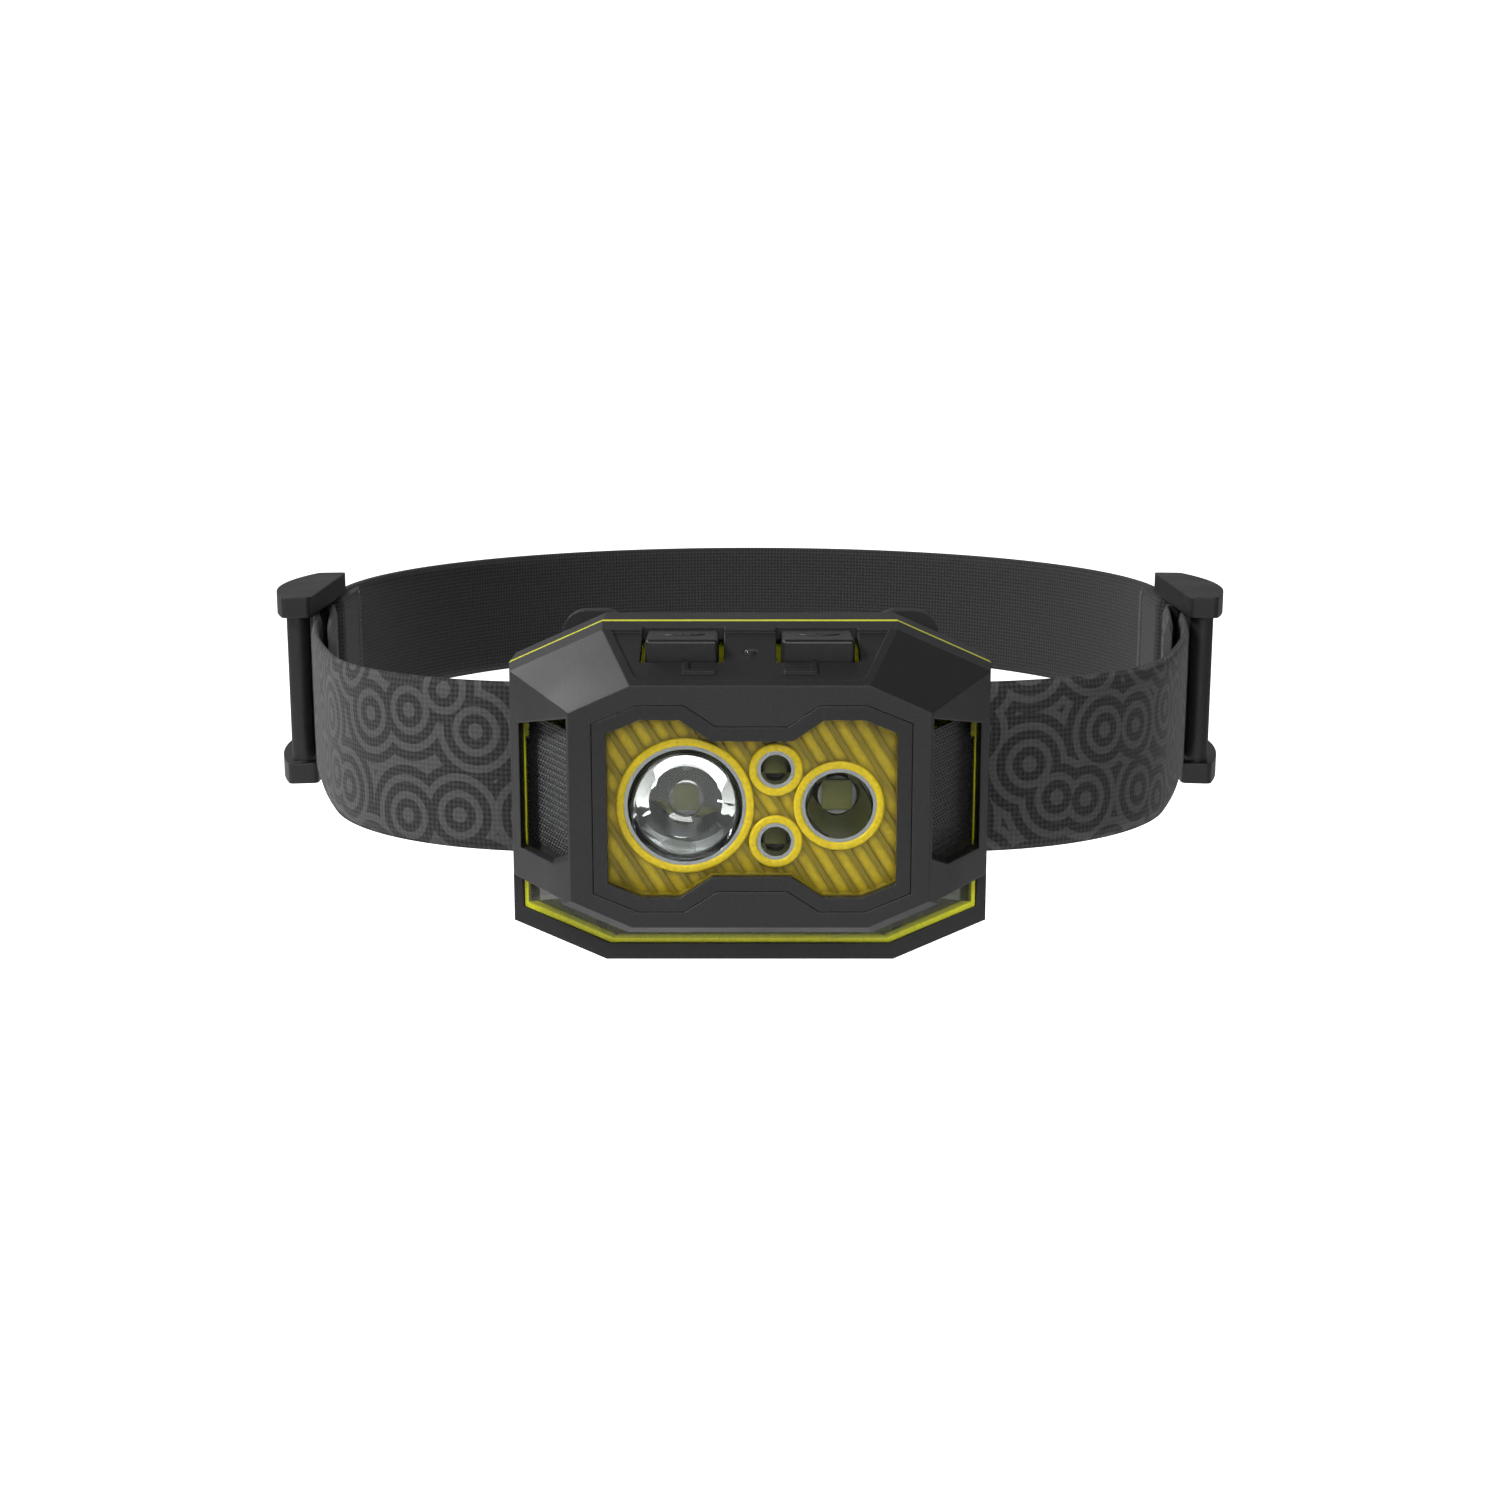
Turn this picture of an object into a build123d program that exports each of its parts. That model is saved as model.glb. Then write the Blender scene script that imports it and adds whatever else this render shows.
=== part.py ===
from build123d import *
import os
from math import atan, cos, degrees, pi, radians, sin, sqrt

# A camping headlamp worn on a loop of elastic: a lamp that tilts on a bracket, with two
# push buttons, a charging socket under a rubber cover, and a strap with two buckles.
#
# Millimetres. X is the wearer's right to left across the lamp, -Y is the way the lamp
# points, +Z is up. The origin is the centre of the head opening at half strap height.

# ---- driving dimensions ----------------------------------------------------------------

# strap and head loop
STRAP_WIDTH = 25.0          # one inch elastic
STRAP_THICK = 1.4
LOOP_HALF_WIDTH = 79.7      # strap centre line to the middle plane, at the ears
LOOP_FRONT = 110.0          # strap centre line ahead of the origin, at the forehead
LOOP_SHOULDER_TURN = 70.0   # degrees turned by the tight arc beside the forehead
TAIL_LENGTH = 26.0          # front strap folded back inside its adjuster bar
REAR_TAIL_LENGTH = 17.0     # rear strap folded back inside its fixed bar
LAYER_SHIFT = 2.1           # sideways step of the strap where it climbs onto a bar
LAYER_SHIFT_RUN = 7.5       # length over which it climbs
REAR_SHIFT_RUN = 10.0

# side buckles
BAR_WIDTH = 4.0
BAR_THICK = 2.6
BAR_GAP = 0.15              # strap to the bar that it wraps
FRONT_BAR_THICK = 4.0
FRONT_BAR_WIDTH = 4.6
FRONT_BAR_REACH = 16.5      # adjuster bar to the middle of the front bar
RAIL_HEIGHT = 3.6
RAIL_GAP = 0.4              # strap edge to rail
RAIL_BULGE = 6.9            # outer curve of the rail beyond the adjuster bar's centre
RAIL_OVERHANG = 1.0         # rail beyond the bars, all round
REAR_BAR_Y = -11.6
FRONT_CLIMB_Y = -33.4       # where the front strap starts to climb onto the adjuster bar

# bracket on the strap
BRACKET_HALF = 26.5
BRACKET_FRONT_WALL = 2.4
BRACKET_REAR_WALL = 1.5
BRACKET_EDGE_WALL = 1.9
STRAP_CLEARANCE = 0.3
EAR_TOP = 23.3
EAR_INNER = 17.0
EAR_RADIUS = 3.5
PAD_SIZE = (46.0, 27.0)
PAD_THICK = 3.5
PAD_CORNER = 6.0

# tilt hinge
HINGE_Y = -114.5
HINGE_Z = -18.5
KNUCKLE_RADIUS = 2.5
KNUCKLE_WIDTH = 4.0
KNUCKLE_GAP = 0.3
LUG_HALF = 7.3
PIN_RADIUS = 1.25
PIN_FIT = 0.05

# lamp body, from back to front
LAMP_BACK = -117.4
RIM_BACK = -126.0           # housing meets the coloured chassis
RIM_FRONT = -127.6          # chassis meets the front shell
BAND_FRONT = -131.5         # straight band of the shell ends, facets begin
FACE = -147.0
CORNER_SLOPE = 0.445        # fall of the corner facets across their run
RIM = (32.4, 23.7, -23.3, 12.6)      # half width, top, bottom, corner run
BAND = (31.9, 23.1, -21.6, 12.4)
FACE_OUTLINE = (22.9, 18.2, -13.2, 7.8)
SHELL_WALL = 1.8
FACE_WALL = 2.4
SKIRT_WALL = 1.4
SKIRT_GAP = 0.1
SKIRT_TOP = 16.8
SKIRT_BOTTOM = -10.6
HOUSING_WALL = 2.8
HOUSING_BACK_WALL = 1.5
HOUSING_EDGE = 1.2
GASKET_INSET = 1.7
GASKET_WIDTH = 0.7
GASKET_DEPTH = 0.8

# side windows and lower diffuser
WINDOW_OUTER = 30.6
WINDOW_INNER = 23.2
WINDOW_TOP = (11.0, 13.9)
WINDOW_BOTTOM = (-6.0, -4.3)
WINDOW_CORNER_X = 25.6
ARM_BOTTOM = -10.2
DIFFUSER_REAR = (30.4, 13.2, -20.3, 11.6)
DIFFUSER_FRONT = (22.0, 13.2, -12.95, 7.3)
DIFFUSER_WALL = 1.2

# front insert: a bow tie shaped bezel, window, seal and reflector plate
BEZEL_THICK = 1.0
BEZEL_GAP = 0.1
WINDOW_THICK = 1.0
SEAL_INSET = 0.4
SEAL_BAND = 1.1
PLATE_THICK = 2.1
PLATE_LIP = 0.15
RIB_WIDTH = 0.65
RIB_PITCH = 2.2
RIB_ANGLE = -58.0
RIB_HEIGHT = 0.4
BOSS_WALL = 0.8

# light sources: centre x, centre z, mouth radius
SPOT = (-8.3, 2.25, 8.0)
FLOOD = (11.4, 2.25, 5.0)
REDS = ((3.3, 6.95, 2.6), (3.3, -2.45, 2.6))
CUP_WALL = 0.6
CUP_FIT = 0.05
CUP_FLANGE = 0.8
LED_PLANE = -138.1
BOARD_THICK = 1.4
BOARD_FRONT = -137.4
RED_LIFT = 2.0
SPOT_LED = 3.4
FLOOD_LED = 3.9
RED_LED = 2.8
LENS_RADIUS = 6.6
LENS_TIP_RADIUS = 2.3
LED_CLEARANCE = 0.3

# chassis pedestal that carries the light board
PEDESTAL_HALF = 20.0
PEDESTAL_TOP = 12.9
PEDESTAL_BOTTOM = -9.5
PEDESTAL_WALL = 2.0
CHASSIS_HOLE = (30.0, 12.0)
SIDE_BOARD_THICK = 1.2
SIDE_LED = 2.0
SIDE_LED_HEIGHT = 0.7
SIDE_LED_Z = (-4.5, 1.5, 7.5)

# buttons and their switches
BUTTON_X = 8.8
BUTTON_HALF = 4.7
BUTTON_TOP = 22.9
BUTTON_BACK = -130.4
BUTTON_FRONT = -139.6
BUTTON_TRAVEL = 0.7
BUTTON_SIDE_GAP = 0.7
BUTTON_END_GAP = 0.3
BUTTON_CORNER = 0.5
FLANGE_TOP = 18.0
FLANGE_THICK = 1.0
FLANGE_MARGIN = 0.8
SWITCH_BOARD_HALF = 15.0
SWITCH_BOARD_THICK = 1.0
SWITCH_BOARD_Y = (-130.0, -139.0)
SWITCH_BODY = (4.5, 4.5, 1.4)
SWITCH_PLUNGER_RADIUS = 0.9
SWITCH_PLUNGER_GAP = 0.4
SWITCH_Y = -134.6
PANEL_DEPTH = 0.4
PANEL_HALF_BACK = 18.3
PANEL_HALF_FRONT = 14.4
PANEL_CORNER = 2.0
CHARGE_LIGHT_Y = -137.0
CHARGE_LIGHT_RADIUS = 0.8
CHARGE_LIGHT_FIT = 0.05
CHIP_HEIGHT = 0.8
RIDGE_WIDTH = 0.75
RIDGE_HEIGHT = 0.3

# power
BATTERY = (38.0, 5.0, 30.0)
BATTERY_Z = 1.0
MAIN_BOARD_THICK = 1.0
POST_HEIGHT = 1.0
POST_RADIUS = 1.2
POST_PLACES = ((-16.0, -11.0), (16.0, -11.0), (-16.0, 13.0), (16.0, 13.0))
SCREW_PLACES = ((-24.5, 13.5), (24.5, 13.5), (-22.0, -12.5), (22.0, -12.5))
SCREW_RADIUS = 1.0
SCREW_HEAD_RADIUS = 1.9
SCREW_HEAD_HEIGHT = 1.3
SCREW_HEAD_FIT = 0.15
SCREW_SINK = 0.3
SCREW_REACH = 2.2
COLUMN_RADIUS = 2.7
CHASSIS_BOSS_RADIUS = 2.0
CHASSIS_BOSS_HEIGHT = 3.0

# charging socket (USB-C) and its cover, on the side of the housing
SOCKET_SHELL = (8.94, 3.16)
SOCKET_OPENING = (8.34, 2.56)
SOCKET_LENGTH = 7.3
SOCKET_SINK = 2.4           # mouth below the side face
TONGUE = (6.69, 0.7)
PORT_MARGIN = 0.35          # housing opening around the socket shell
COVER_THICK = 1.2
COVER_SIZE = (17.0, 6.0)
COVER_GAP = 0.3
COVER_PLUG_DEPTH = 0.9
COVER_TAB = 1.4
PORT_BLOCK = 4.2            # thickened side wall around the socket

# ---- helpers ---------------------------------------------------------------------------


def front_plane(y):
    """Drawing plane square to the lamp's axis: local x is X, local y is Z, forward is up."""
    return Plane(origin=(0, y, 0), x_dir=(1, 0, 0), z_dir=(0, -1, 0))


def octagon_points(outline, slope=CORNER_SLOPE):
    """Corners of a box of half width, top and bottom with its four corners sliced off."""
    half, top, bottom, run = outline
    drop = slope * run
    right = [(half - run, top), (half, top - drop), (half, bottom + drop), (half - run, bottom)]
    left = [(-x, z) for x, z in reversed(right)]
    return right + left


def shrink(outline, wall):
    """The same sliced box, moved in by one wall on all eight sides."""
    half, top, bottom, run = outline
    run_loss = wall * (1 - (sqrt(1 + CORNER_SLOPE ** 2) - 1) / CORNER_SLOPE)
    return (half - wall, top - wall, bottom + wall, run - run_loss)


def blend_outline(near, far, share):
    """Outline a share of the way from one sliced box to another."""
    return tuple(a + (b - a) * share for a, b in zip(near, far))


def flat_face(points, y):
    """Polygon standing square to the lamp's axis."""
    return front_plane(y) * make_face(Polyline(*points, close=True))


def slab(points, y_back, y_front):
    """Polygon pushed forward from y_back to y_front."""
    return extrude(flat_face(points, y_back), amount=y_back - y_front)


def frustum(outline_back, outline_front, y_back, y_front):
    """Straight sided loft between two sliced boxes."""
    back = flat_face(octagon_points(outline_back), y_back)
    front = flat_face(octagon_points(outline_front), y_front)
    return loft([back, front], ruled=True)


def block(x, y, z):
    """Box from its low and high limits on each axis."""
    size = [high - low for low, high in (x, y, z)]
    middle = [(high + low) / 2 for low, high in (x, y, z)]
    return Pos(*middle) * Box(*size)


def disc(x, z, radius, y_back, y_front):
    """Round bar along the lamp's axis."""
    return extrude(front_plane(y_back) * Pos(x, z) * Circle(radius), amount=y_back - y_front)


def bar_along_x(profile, x_low, x_high):
    """Profile drawn in local (Y, Z), pushed from x_low to x_high."""
    return extrude(Plane(origin=(x_low, 0, 0), x_dir=(0, 1, 0), z_dir=(1, 0, 0)) * profile,
                   amount=x_high - x_low)


def mirrored(shape):
    return mirror(shape, about=Plane.YZ)


def one(shape):
    """The single solid of a shape, so that each STEP file holds a plain solid."""
    return shape.solids().sort_by(SortBy.VOLUME)[-1]


# ---- strap paths -----------------------------------------------------------------------
# A path is walked from its middle: runs of (length, turn in degrees, positive to the left).


def walk(start, heading, runs):
    """Start, middle and end point of each run, each with its heading in degrees."""
    steps = []
    x, y = start
    for length, turn in runs:
        stations = []
        for share in (0.0, 0.5, 1.0):
            if turn == 0:
                px = x + share * length * cos(radians(heading))
                py = y + share * length * sin(radians(heading))
            else:
                radius = length / radians(turn)
                swept = heading + share * turn
                px = x + radius * (sin(radians(swept)) - sin(radians(heading)))
                py = y - radius * (cos(radians(swept)) - cos(radians(heading)))
            stations.append((px, py, heading + share * turn))
        steps.append((stations, turn))
        x, y, heading = stations[2]
    return steps


def side_edges(steps, shift):
    """Edges that run beside a walked path, shifted to its left."""
    edges = []
    for stations, turn in steps:
        points = [(x - shift * sin(radians(h)), y + shift * cos(radians(h)))
                  for x, y, h in stations]
        if turn == 0:
            edges.append(Line(points[0], points[2]))
        else:
            edges.append(ThreePointArc(*points))
    return edges


def ribbon(steps):
    """Strap standing on edge along a walked path."""
    left = side_edges(steps, STRAP_THICK / 2)
    right = side_edges(steps, -STRAP_THICK / 2)
    ends = [Line(left[0] @ 0, right[0] @ 0), Line(left[-1] @ 1, right[-1] @ 1)]
    outline = Wire(left + right + ends)
    return Pos(0, 0, -STRAP_WIDTH / 2) * extrude(make_face(outline), amount=STRAP_WIDTH)


def climb(shift, run):
    """Two opposite arcs that move a path sideways by shift over a run."""
    turn = 2 * degrees_of(shift / run)
    radius = run / (2 * sin(radians(abs(turn))))
    length = radius * radians(abs(turn))
    return [(length, turn), (length, -turn)]


def degrees_of(slope):
    """Angle whose tangent is slope, in degrees."""
    return degrees(atan(slope))


# forehead flat, tight shoulder arc and long temple arc meet the ear line square
shoulder = radians(LOOP_SHOULDER_TURN)
side_run = LOOP_HALF_WIDTH - (BRACKET_HALF + 1.5)
spread = sin(shoulder) + cos(shoulder) - 1
shoulder_radius = (side_run * cos(shoulder) - LOOP_FRONT * (1 - sin(shoulder))) / spread
temple_radius = (LOOP_FRONT * sin(shoulder) - side_run * (1 - cos(shoulder))) / spread

wrap_radius = BAR_THICK / 2 + BAR_GAP + STRAP_THICK / 2
bar_flat = BAR_WIDTH - BAR_THICK
climb_heading = 90 + degrees_of(FRONT_CLIMB_Y / temple_radius)
temple_turn = climb_heading - LOOP_SHOULDER_TURN
front_runs = [
    (BRACKET_HALF + 1.5, 0),
    (shoulder_radius * shoulder, LOOP_SHOULDER_TURN),
    (temple_radius * radians(temple_turn), temple_turn),
] + climb(-LAYER_SHIFT, LAYER_SHIFT_RUN) + [
    (bar_flat, 0),
    (wrap_radius * pi, 180),
    (bar_flat, 0),
    (TAIL_LENGTH, -TAIL_LENGTH / radians(temple_radius)),
]
front_steps = walk((0, -LOOP_FRONT), 0, front_runs)


def bar_centre(steps, index):
    """Middle of a bar that the strap runs over in the run of that index."""
    x, y, heading = steps[index][0][1]
    return (x - wrap_radius * sin(radians(heading)), y + wrap_radius * cos(radians(heading)))


adjuster = bar_centre(front_steps, 5)
bar_heading = front_steps[5][0][1][2]

# the rear strap is walked from the back of the head, the other way round
rear_shift_out = 2.0
rear_runs = [(LOOP_HALF_WIDTH * pi / 2, -90)] + climb(rear_shift_out, REAR_SHIFT_RUN)
rear_flat = -REAR_BAR_Y - REAR_SHIFT_RUN + bar_flat / 2
rear_runs += [(rear_flat, 0), (wrap_radius * pi, -180), (REAR_TAIL_LENGTH, 0)]
rear_steps = walk((0, LOOP_HALF_WIDTH), 0, rear_runs)
rear_end = rear_steps[3][0][2]
rear_bar = (rear_end[0] - wrap_radius, rear_end[1] + bar_flat / 2)

strap_front_half = ribbon(front_steps)
strap_front = one(strap_front_half + mirrored(strap_front_half))
strap_rear_half = ribbon(rear_steps)
strap_rear = one(strap_rear_half + mirrored(strap_rear_half))

# ---- side buckles ----------------------------------------------------------------------
# Buckle frame: origin at the adjuster bar, local x back along the strap, local y outward.

buckle_plane = Plane(
    origin=(adjuster[0], adjuster[1], 0),
    x_dir=(cos(radians(bar_heading)), sin(radians(bar_heading)), 0),
    z_dir=(0, 0, -1),
)
rail_inner_z = STRAP_WIDTH / 2 + RAIL_GAP
rail_outer_z = rail_inner_z + RAIL_HEIGHT
rear_local = buckle_plane.to_local_coords(Vector(rear_bar[0], rear_bar[1], 0))
front_bar_low = 0.9
front_bar_middle = front_bar_low + FRONT_BAR_THICK / 2
rail_front = -FRONT_BAR_REACH - FRONT_BAR_WIDTH / 2 - RAIL_OVERHANG
rail_back = rear_local.X + BAR_WIDTH / 2 + RAIL_OVERHANG + wrap_radius


def upright(centre, width, thick):
    """Rounded upright bar between the two rails."""
    height = 2 * rail_inner_z
    body = extrude(buckle_plane * Pos(*centre) * SlotOverall(width, thick), amount=height)
    return Pos(0, 0, rail_inner_z) * body


def rail():
    """Crescent that joins the bars, seen from above."""
    outer_front = (rail_front, front_bar_low + FRONT_BAR_THICK + RAIL_OVERHANG * 0.4)
    outer_back = (rail_back, rear_local.Y + wrap_radius)
    inner_front = (rail_front, front_bar_low - RAIL_OVERHANG * 0.5)
    inner_back = (rail_back, rear_local.Y - wrap_radius - STRAP_THICK / 2)
    outer = ThreePointArc(outer_front, (0, RAIL_BULGE), outer_back)
    inner = ThreePointArc(inner_front, (0, -BAR_THICK / 2 - RAIL_OVERHANG * 0.3), inner_back)
    sides = [Line(outer_front, inner_front), Line(outer_back, inner_back)]
    face = make_face(Wire([outer, inner] + sides))
    body = extrude(buckle_plane * face, amount=RAIL_HEIGHT)
    body = fillet(body.edges().filter_by(Axis.Z), RAIL_OVERHANG)
    return Pos(0, 0, rail_outer_z) * body


def make_buckle():
    top = rail()
    bottom = Pos(0, 0, -2 * rail_outer_z + RAIL_HEIGHT) * top
    body = top + bottom
    body += upright((0, 0), BAR_WIDTH, BAR_THICK)
    body += upright((rear_local.X, rear_local.Y), BAR_WIDTH, BAR_THICK)
    body += upright((-FRONT_BAR_REACH, front_bar_middle), FRONT_BAR_WIDTH, FRONT_BAR_THICK)
    return one(body)


left_buckle = make_buckle()
right_buckle = mirrored(left_buckle)

# ---- bracket, pad and pin --------------------------------------------------------------

slot_back = -LOOP_FRONT + STRAP_THICK / 2 + STRAP_CLEARANCE
slot_front = -LOOP_FRONT - STRAP_THICK / 2 - STRAP_CLEARANCE
slot_half = STRAP_WIDTH / 2 + RAIL_GAP
bracket_back = slot_back + BRACKET_REAR_WALL
bracket_front = slot_front - BRACKET_FRONT_WALL
bracket_top = slot_half + BRACKET_EDGE_WALL
knuckle_inner = LUG_HALF + KNUCKLE_GAP
knuckle_outer = knuckle_inner + KNUCKLE_WIDTH


def ear():
    """One of the two tabs that rise behind the lamp, with round outer corners."""
    width = BRACKET_HALF - EAR_INNER
    height = EAR_TOP - bracket_top + EAR_RADIUS
    face = Pos(EAR_INNER + width / 2, EAR_TOP - height / 2) * Rectangle(width, height)
    face = fillet(face.vertices().group_by(Axis.Y)[-1], EAR_RADIUS)
    return extrude(front_plane(slot_front) * face, amount=BRACKET_FRONT_WALL)


def knuckle():
    """Hinge eye hanging under the strap sleeve."""
    eye = Pos(HINGE_Y, HINGE_Z) * Circle(KNUCKLE_RADIUS)
    arm_height = -HINGE_Z - slot_half
    arm_width = slot_front - HINGE_Y + KNUCKLE_RADIUS * 0.7
    arm = Pos(slot_front - arm_width / 2, HINGE_Z + arm_height / 2) * Rectangle(
        arm_width, arm_height)
    hole = Pos(HINGE_Y, HINGE_Z) * Circle(PIN_RADIUS)
    return bar_along_x(eye + arm - hole, knuckle_inner, knuckle_outer)


def make_bracket():
    sleeve = block((-BRACKET_HALF, BRACKET_HALF), (bracket_front, bracket_back),
                   (-bracket_top, bracket_top))
    sleeve = fillet(sleeve.edges().filter_by(Axis.Y), 2.0)
    sleeve -= block((-BRACKET_HALF, BRACKET_HALF), (slot_front, slot_back),
                    (-slot_half, slot_half))
    tab = ear()
    eye = knuckle()
    body = sleeve + tab + mirrored(tab) + eye + mirrored(eye)
    return one(body)


def make_pad():
    face = RectangleRounded(*PAD_SIZE, PAD_CORNER)
    body = extrude(front_plane(bracket_back) * face, amount=-PAD_THICK)
    back_edges = body.faces().sort_by(Axis.Y)[-1].edges()
    return one(fillet(back_edges, PAD_THICK * 0.4))


bracket = make_bracket()
forehead_pad = make_pad()
pivot_pin = one(bar_along_x(Pos(HINGE_Y, HINGE_Z) * Circle(PIN_RADIUS),
                            -knuckle_outer, knuckle_outer))

# ---- lamp: rear housing, gasket and chassis --------------------------------------------

rim_points = octagon_points(RIM)
skirt_points = octagon_points(shrink(RIM, SKIRT_WALL))
chassis_points = octagon_points(shrink(RIM, SKIRT_WALL + SKIRT_GAP))
slant_clearance = KNUCKLE_RADIUS + 0.4
slant_sum = slant_clearance * sqrt(2)


def below_slant(offset):
    """Everything behind and under the slanted lower back, moved in by an offset."""
    # the slant keeps a constant distance from the hinge axis, so the lamp can swing
    reach = slant_sum + offset * sqrt(2)
    far = 60.0
    corner_y = HINGE_Y - reach
    points = [(corner_y - far, HINGE_Z - far), (corner_y + far, HINGE_Z + far),
              (corner_y + far, HINGE_Z - far)]
    return bar_along_x(make_face(Polyline(*points, close=True)), -far, far)


port_y = (LAMP_BACK - HOUSING_BACK_WALL - POST_HEIGHT - MAIN_BOARD_THICK - SOCKET_SHELL[1] / 2)
side_x = RIM[0]
cover_inner = side_x - COVER_THICK
cover_floor = cover_inner - COVER_GAP
socket_mouth = side_x - SOCKET_SINK
plug_size = (SOCKET_SHELL[0] + 2 * PORT_MARGIN, SOCKET_SHELL[1] + 2 * PORT_MARGIN)


def yz_slot(length, height, x_low, x_high, y=port_y, z=0.0):
    """Stadium standing upright in the side wall, pushed across it."""
    return bar_along_x(Pos(y, z) * SlotOverall(length, height, rotation=90), x_low, x_high)


def make_housing():
    body = slab(rim_points, LAMP_BACK, RIM_BACK)
    body = chamfer(body.faces().sort_by(Axis.Y)[-1].edges(), HOUSING_EDGE)
    lip = slab(rim_points, RIM_BACK, RIM_FRONT) - slab(skirt_points, RIM_BACK, RIM_FRONT)
    lip -= block((-40, 40), (-140, -100), (SKIRT_BOTTOM - COVER_GAP, 40))
    body += lip
    body -= below_slant(0)
    cavity = slab(octagon_points(shrink(RIM, HOUSING_WALL)), LAMP_BACK - HOUSING_BACK_WALL,
                  RIM_BACK)
    cavity -= below_slant(HOUSING_WALL * 0.85)
    inside = cavity
    body -= cavity
    # columns for the screws, and posts under the main board
    for x, z in SCREW_PLACES:
        body += disc(x, z, COLUMN_RADIUS, LAMP_BACK - 0.5, RIM_BACK)
    for x, z in POST_PLACES:
        body += disc(x, z, POST_RADIUS, LAMP_BACK - 0.5,
                     LAMP_BACK - HOUSING_BACK_WALL - POST_HEIGHT)
    # thick wall round the charging socket
    port = block((socket_mouth - 1.4, side_x - 0.5),
                 (port_y - SOCKET_SHELL[1] / 2 - 1.6, LAMP_BACK - HOUSING_BACK_WALL),
                 (-plug_size[0] / 2 - 1.6, plug_size[0] / 2 + 1.6))
    body += port & (inside + slab(rim_points, LAMP_BACK - 1, RIM_BACK))
    body -= yz_slot(plug_size[0], plug_size[1], socket_mouth, side_x + 1)
    body -= yz_slot(SOCKET_SHELL[0], SOCKET_SHELL[1], socket_mouth - 5, side_x)
    body -= block((cover_floor, side_x + 1),
                  (port_y - COVER_SIZE[1] / 2 - COVER_GAP, port_y + COVER_SIZE[1] / 2 + COVER_GAP),
                  (-COVER_SIZE[0] / 2 - COVER_GAP, COVER_SIZE[0] / 2 + COVER_GAP))
    # lug of the tilt hinge
    lug_profile = Pos(HINGE_Y, HINGE_Z) * Circle(KNUCKLE_RADIUS)
    reach = slant_sum + HOUSING_WALL * 0.5
    lug_profile += Pos(HINGE_Y - reach / 2, HINGE_Z) * Rectangle(reach, KNUCKLE_RADIUS * 1.7)
    lug = bar_along_x(lug_profile, -LUG_HALF, LUG_HALF)
    body += lug
    body -= bar_along_x(Pos(HINGE_Y, HINGE_Z) * Circle(PIN_RADIUS + PIN_FIT),
                        -LUG_HALF, LUG_HALF)
    for x, z in SCREW_PLACES:
        body -= disc(x, z, SCREW_RADIUS + SCREW_HEAD_FIT, LAMP_BACK, RIM_BACK)
        body -= disc(x, z, SCREW_HEAD_RADIUS + SCREW_HEAD_FIT, LAMP_BACK,
                     LAMP_BACK - SCREW_SINK - SCREW_HEAD_HEIGHT)
    groove_outer = octagon_points(shrink(RIM, GASKET_INSET))
    groove_inner = octagon_points(shrink(RIM, GASKET_INSET + GASKET_WIDTH))
    body -= (slab(groove_outer, RIM_BACK + GASKET_DEPTH, RIM_BACK)
             - slab(groove_inner, RIM_BACK + GASKET_DEPTH, RIM_BACK))
    return one(body)


def make_gasket():
    outer = octagon_points(shrink(RIM, GASKET_INSET))
    inner = octagon_points(shrink(RIM, GASKET_INSET + GASKET_WIDTH))
    return one(slab(outer, RIM_BACK + GASKET_DEPTH, RIM_BACK)
               - slab(inner, RIM_BACK + GASKET_DEPTH, RIM_BACK))


def make_chassis():
    """Coloured frame: its edge shows along the top, and its box carries the light board."""
    far = 60.0
    body = slab(chassis_points, RIM_BACK, RIM_FRONT)
    crown = slab(rim_points, RIM_BACK, RIM_FRONT)
    crown &= block((-far, far), (RIM_FRONT, RIM_BACK), (SKIRT_TOP + SKIRT_GAP, far))
    body += crown
    width = 2 * PEDESTAL_HALF
    height = PEDESTAL_TOP - PEDESTAL_BOTTOM
    middle = (PEDESTAL_TOP + PEDESTAL_BOTTOM) / 2
    board_back = BOARD_FRONT + BOARD_THICK
    outer = front_plane(RIM_FRONT) * Pos(0, middle) * Rectangle(width, height)
    inner = front_plane(RIM_FRONT) * Pos(0, middle) * Rectangle(
        width - 2 * PEDESTAL_WALL, height - 2 * PEDESTAL_WALL)
    body += extrude(outer, amount=RIM_FRONT - board_back)
    body -= extrude(inner, amount=RIM_FRONT - board_back)
    body -= block((-CHASSIS_HOLE[0] / 2, CHASSIS_HOLE[0] / 2), (RIM_FRONT, RIM_BACK),
                  (middle - CHASSIS_HOLE[1] / 2, middle + CHASSIS_HOLE[1] / 2))
    for x, z in SCREW_PLACES:
        body += disc(x, z, CHASSIS_BOSS_RADIUS, RIM_BACK, RIM_FRONT - CHASSIS_BOSS_HEIGHT)
        body -= disc(x, z, SCREW_RADIUS, RIM_BACK, RIM_FRONT - SCREW_REACH)
    return one(body)


def make_screws():
    """Four cross head screws that hold the housing to the chassis."""
    screws = []
    top = LAMP_BACK - SCREW_SINK
    for x, z in SCREW_PLACES:
        body = disc(x, z, SCREW_HEAD_RADIUS, top, top - SCREW_HEAD_HEIGHT)
        body += disc(x, z, SCREW_RADIUS, top, RIM_FRONT - SCREW_REACH)
        for width, height in ((2.2, 0.5), (0.5, 2.2)):
            body -= extrude(front_plane(top) * Pos(x, z) * Rectangle(width, height), amount=0.7)
        screws.append(one(body))
    return Compound(children=screws)


rear_housing = make_housing()
housing_gasket = make_gasket()
chassis_ring = make_chassis()
housing_screws = make_screws()

# ---- lamp: power -----------------------------------------------------------------------

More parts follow.
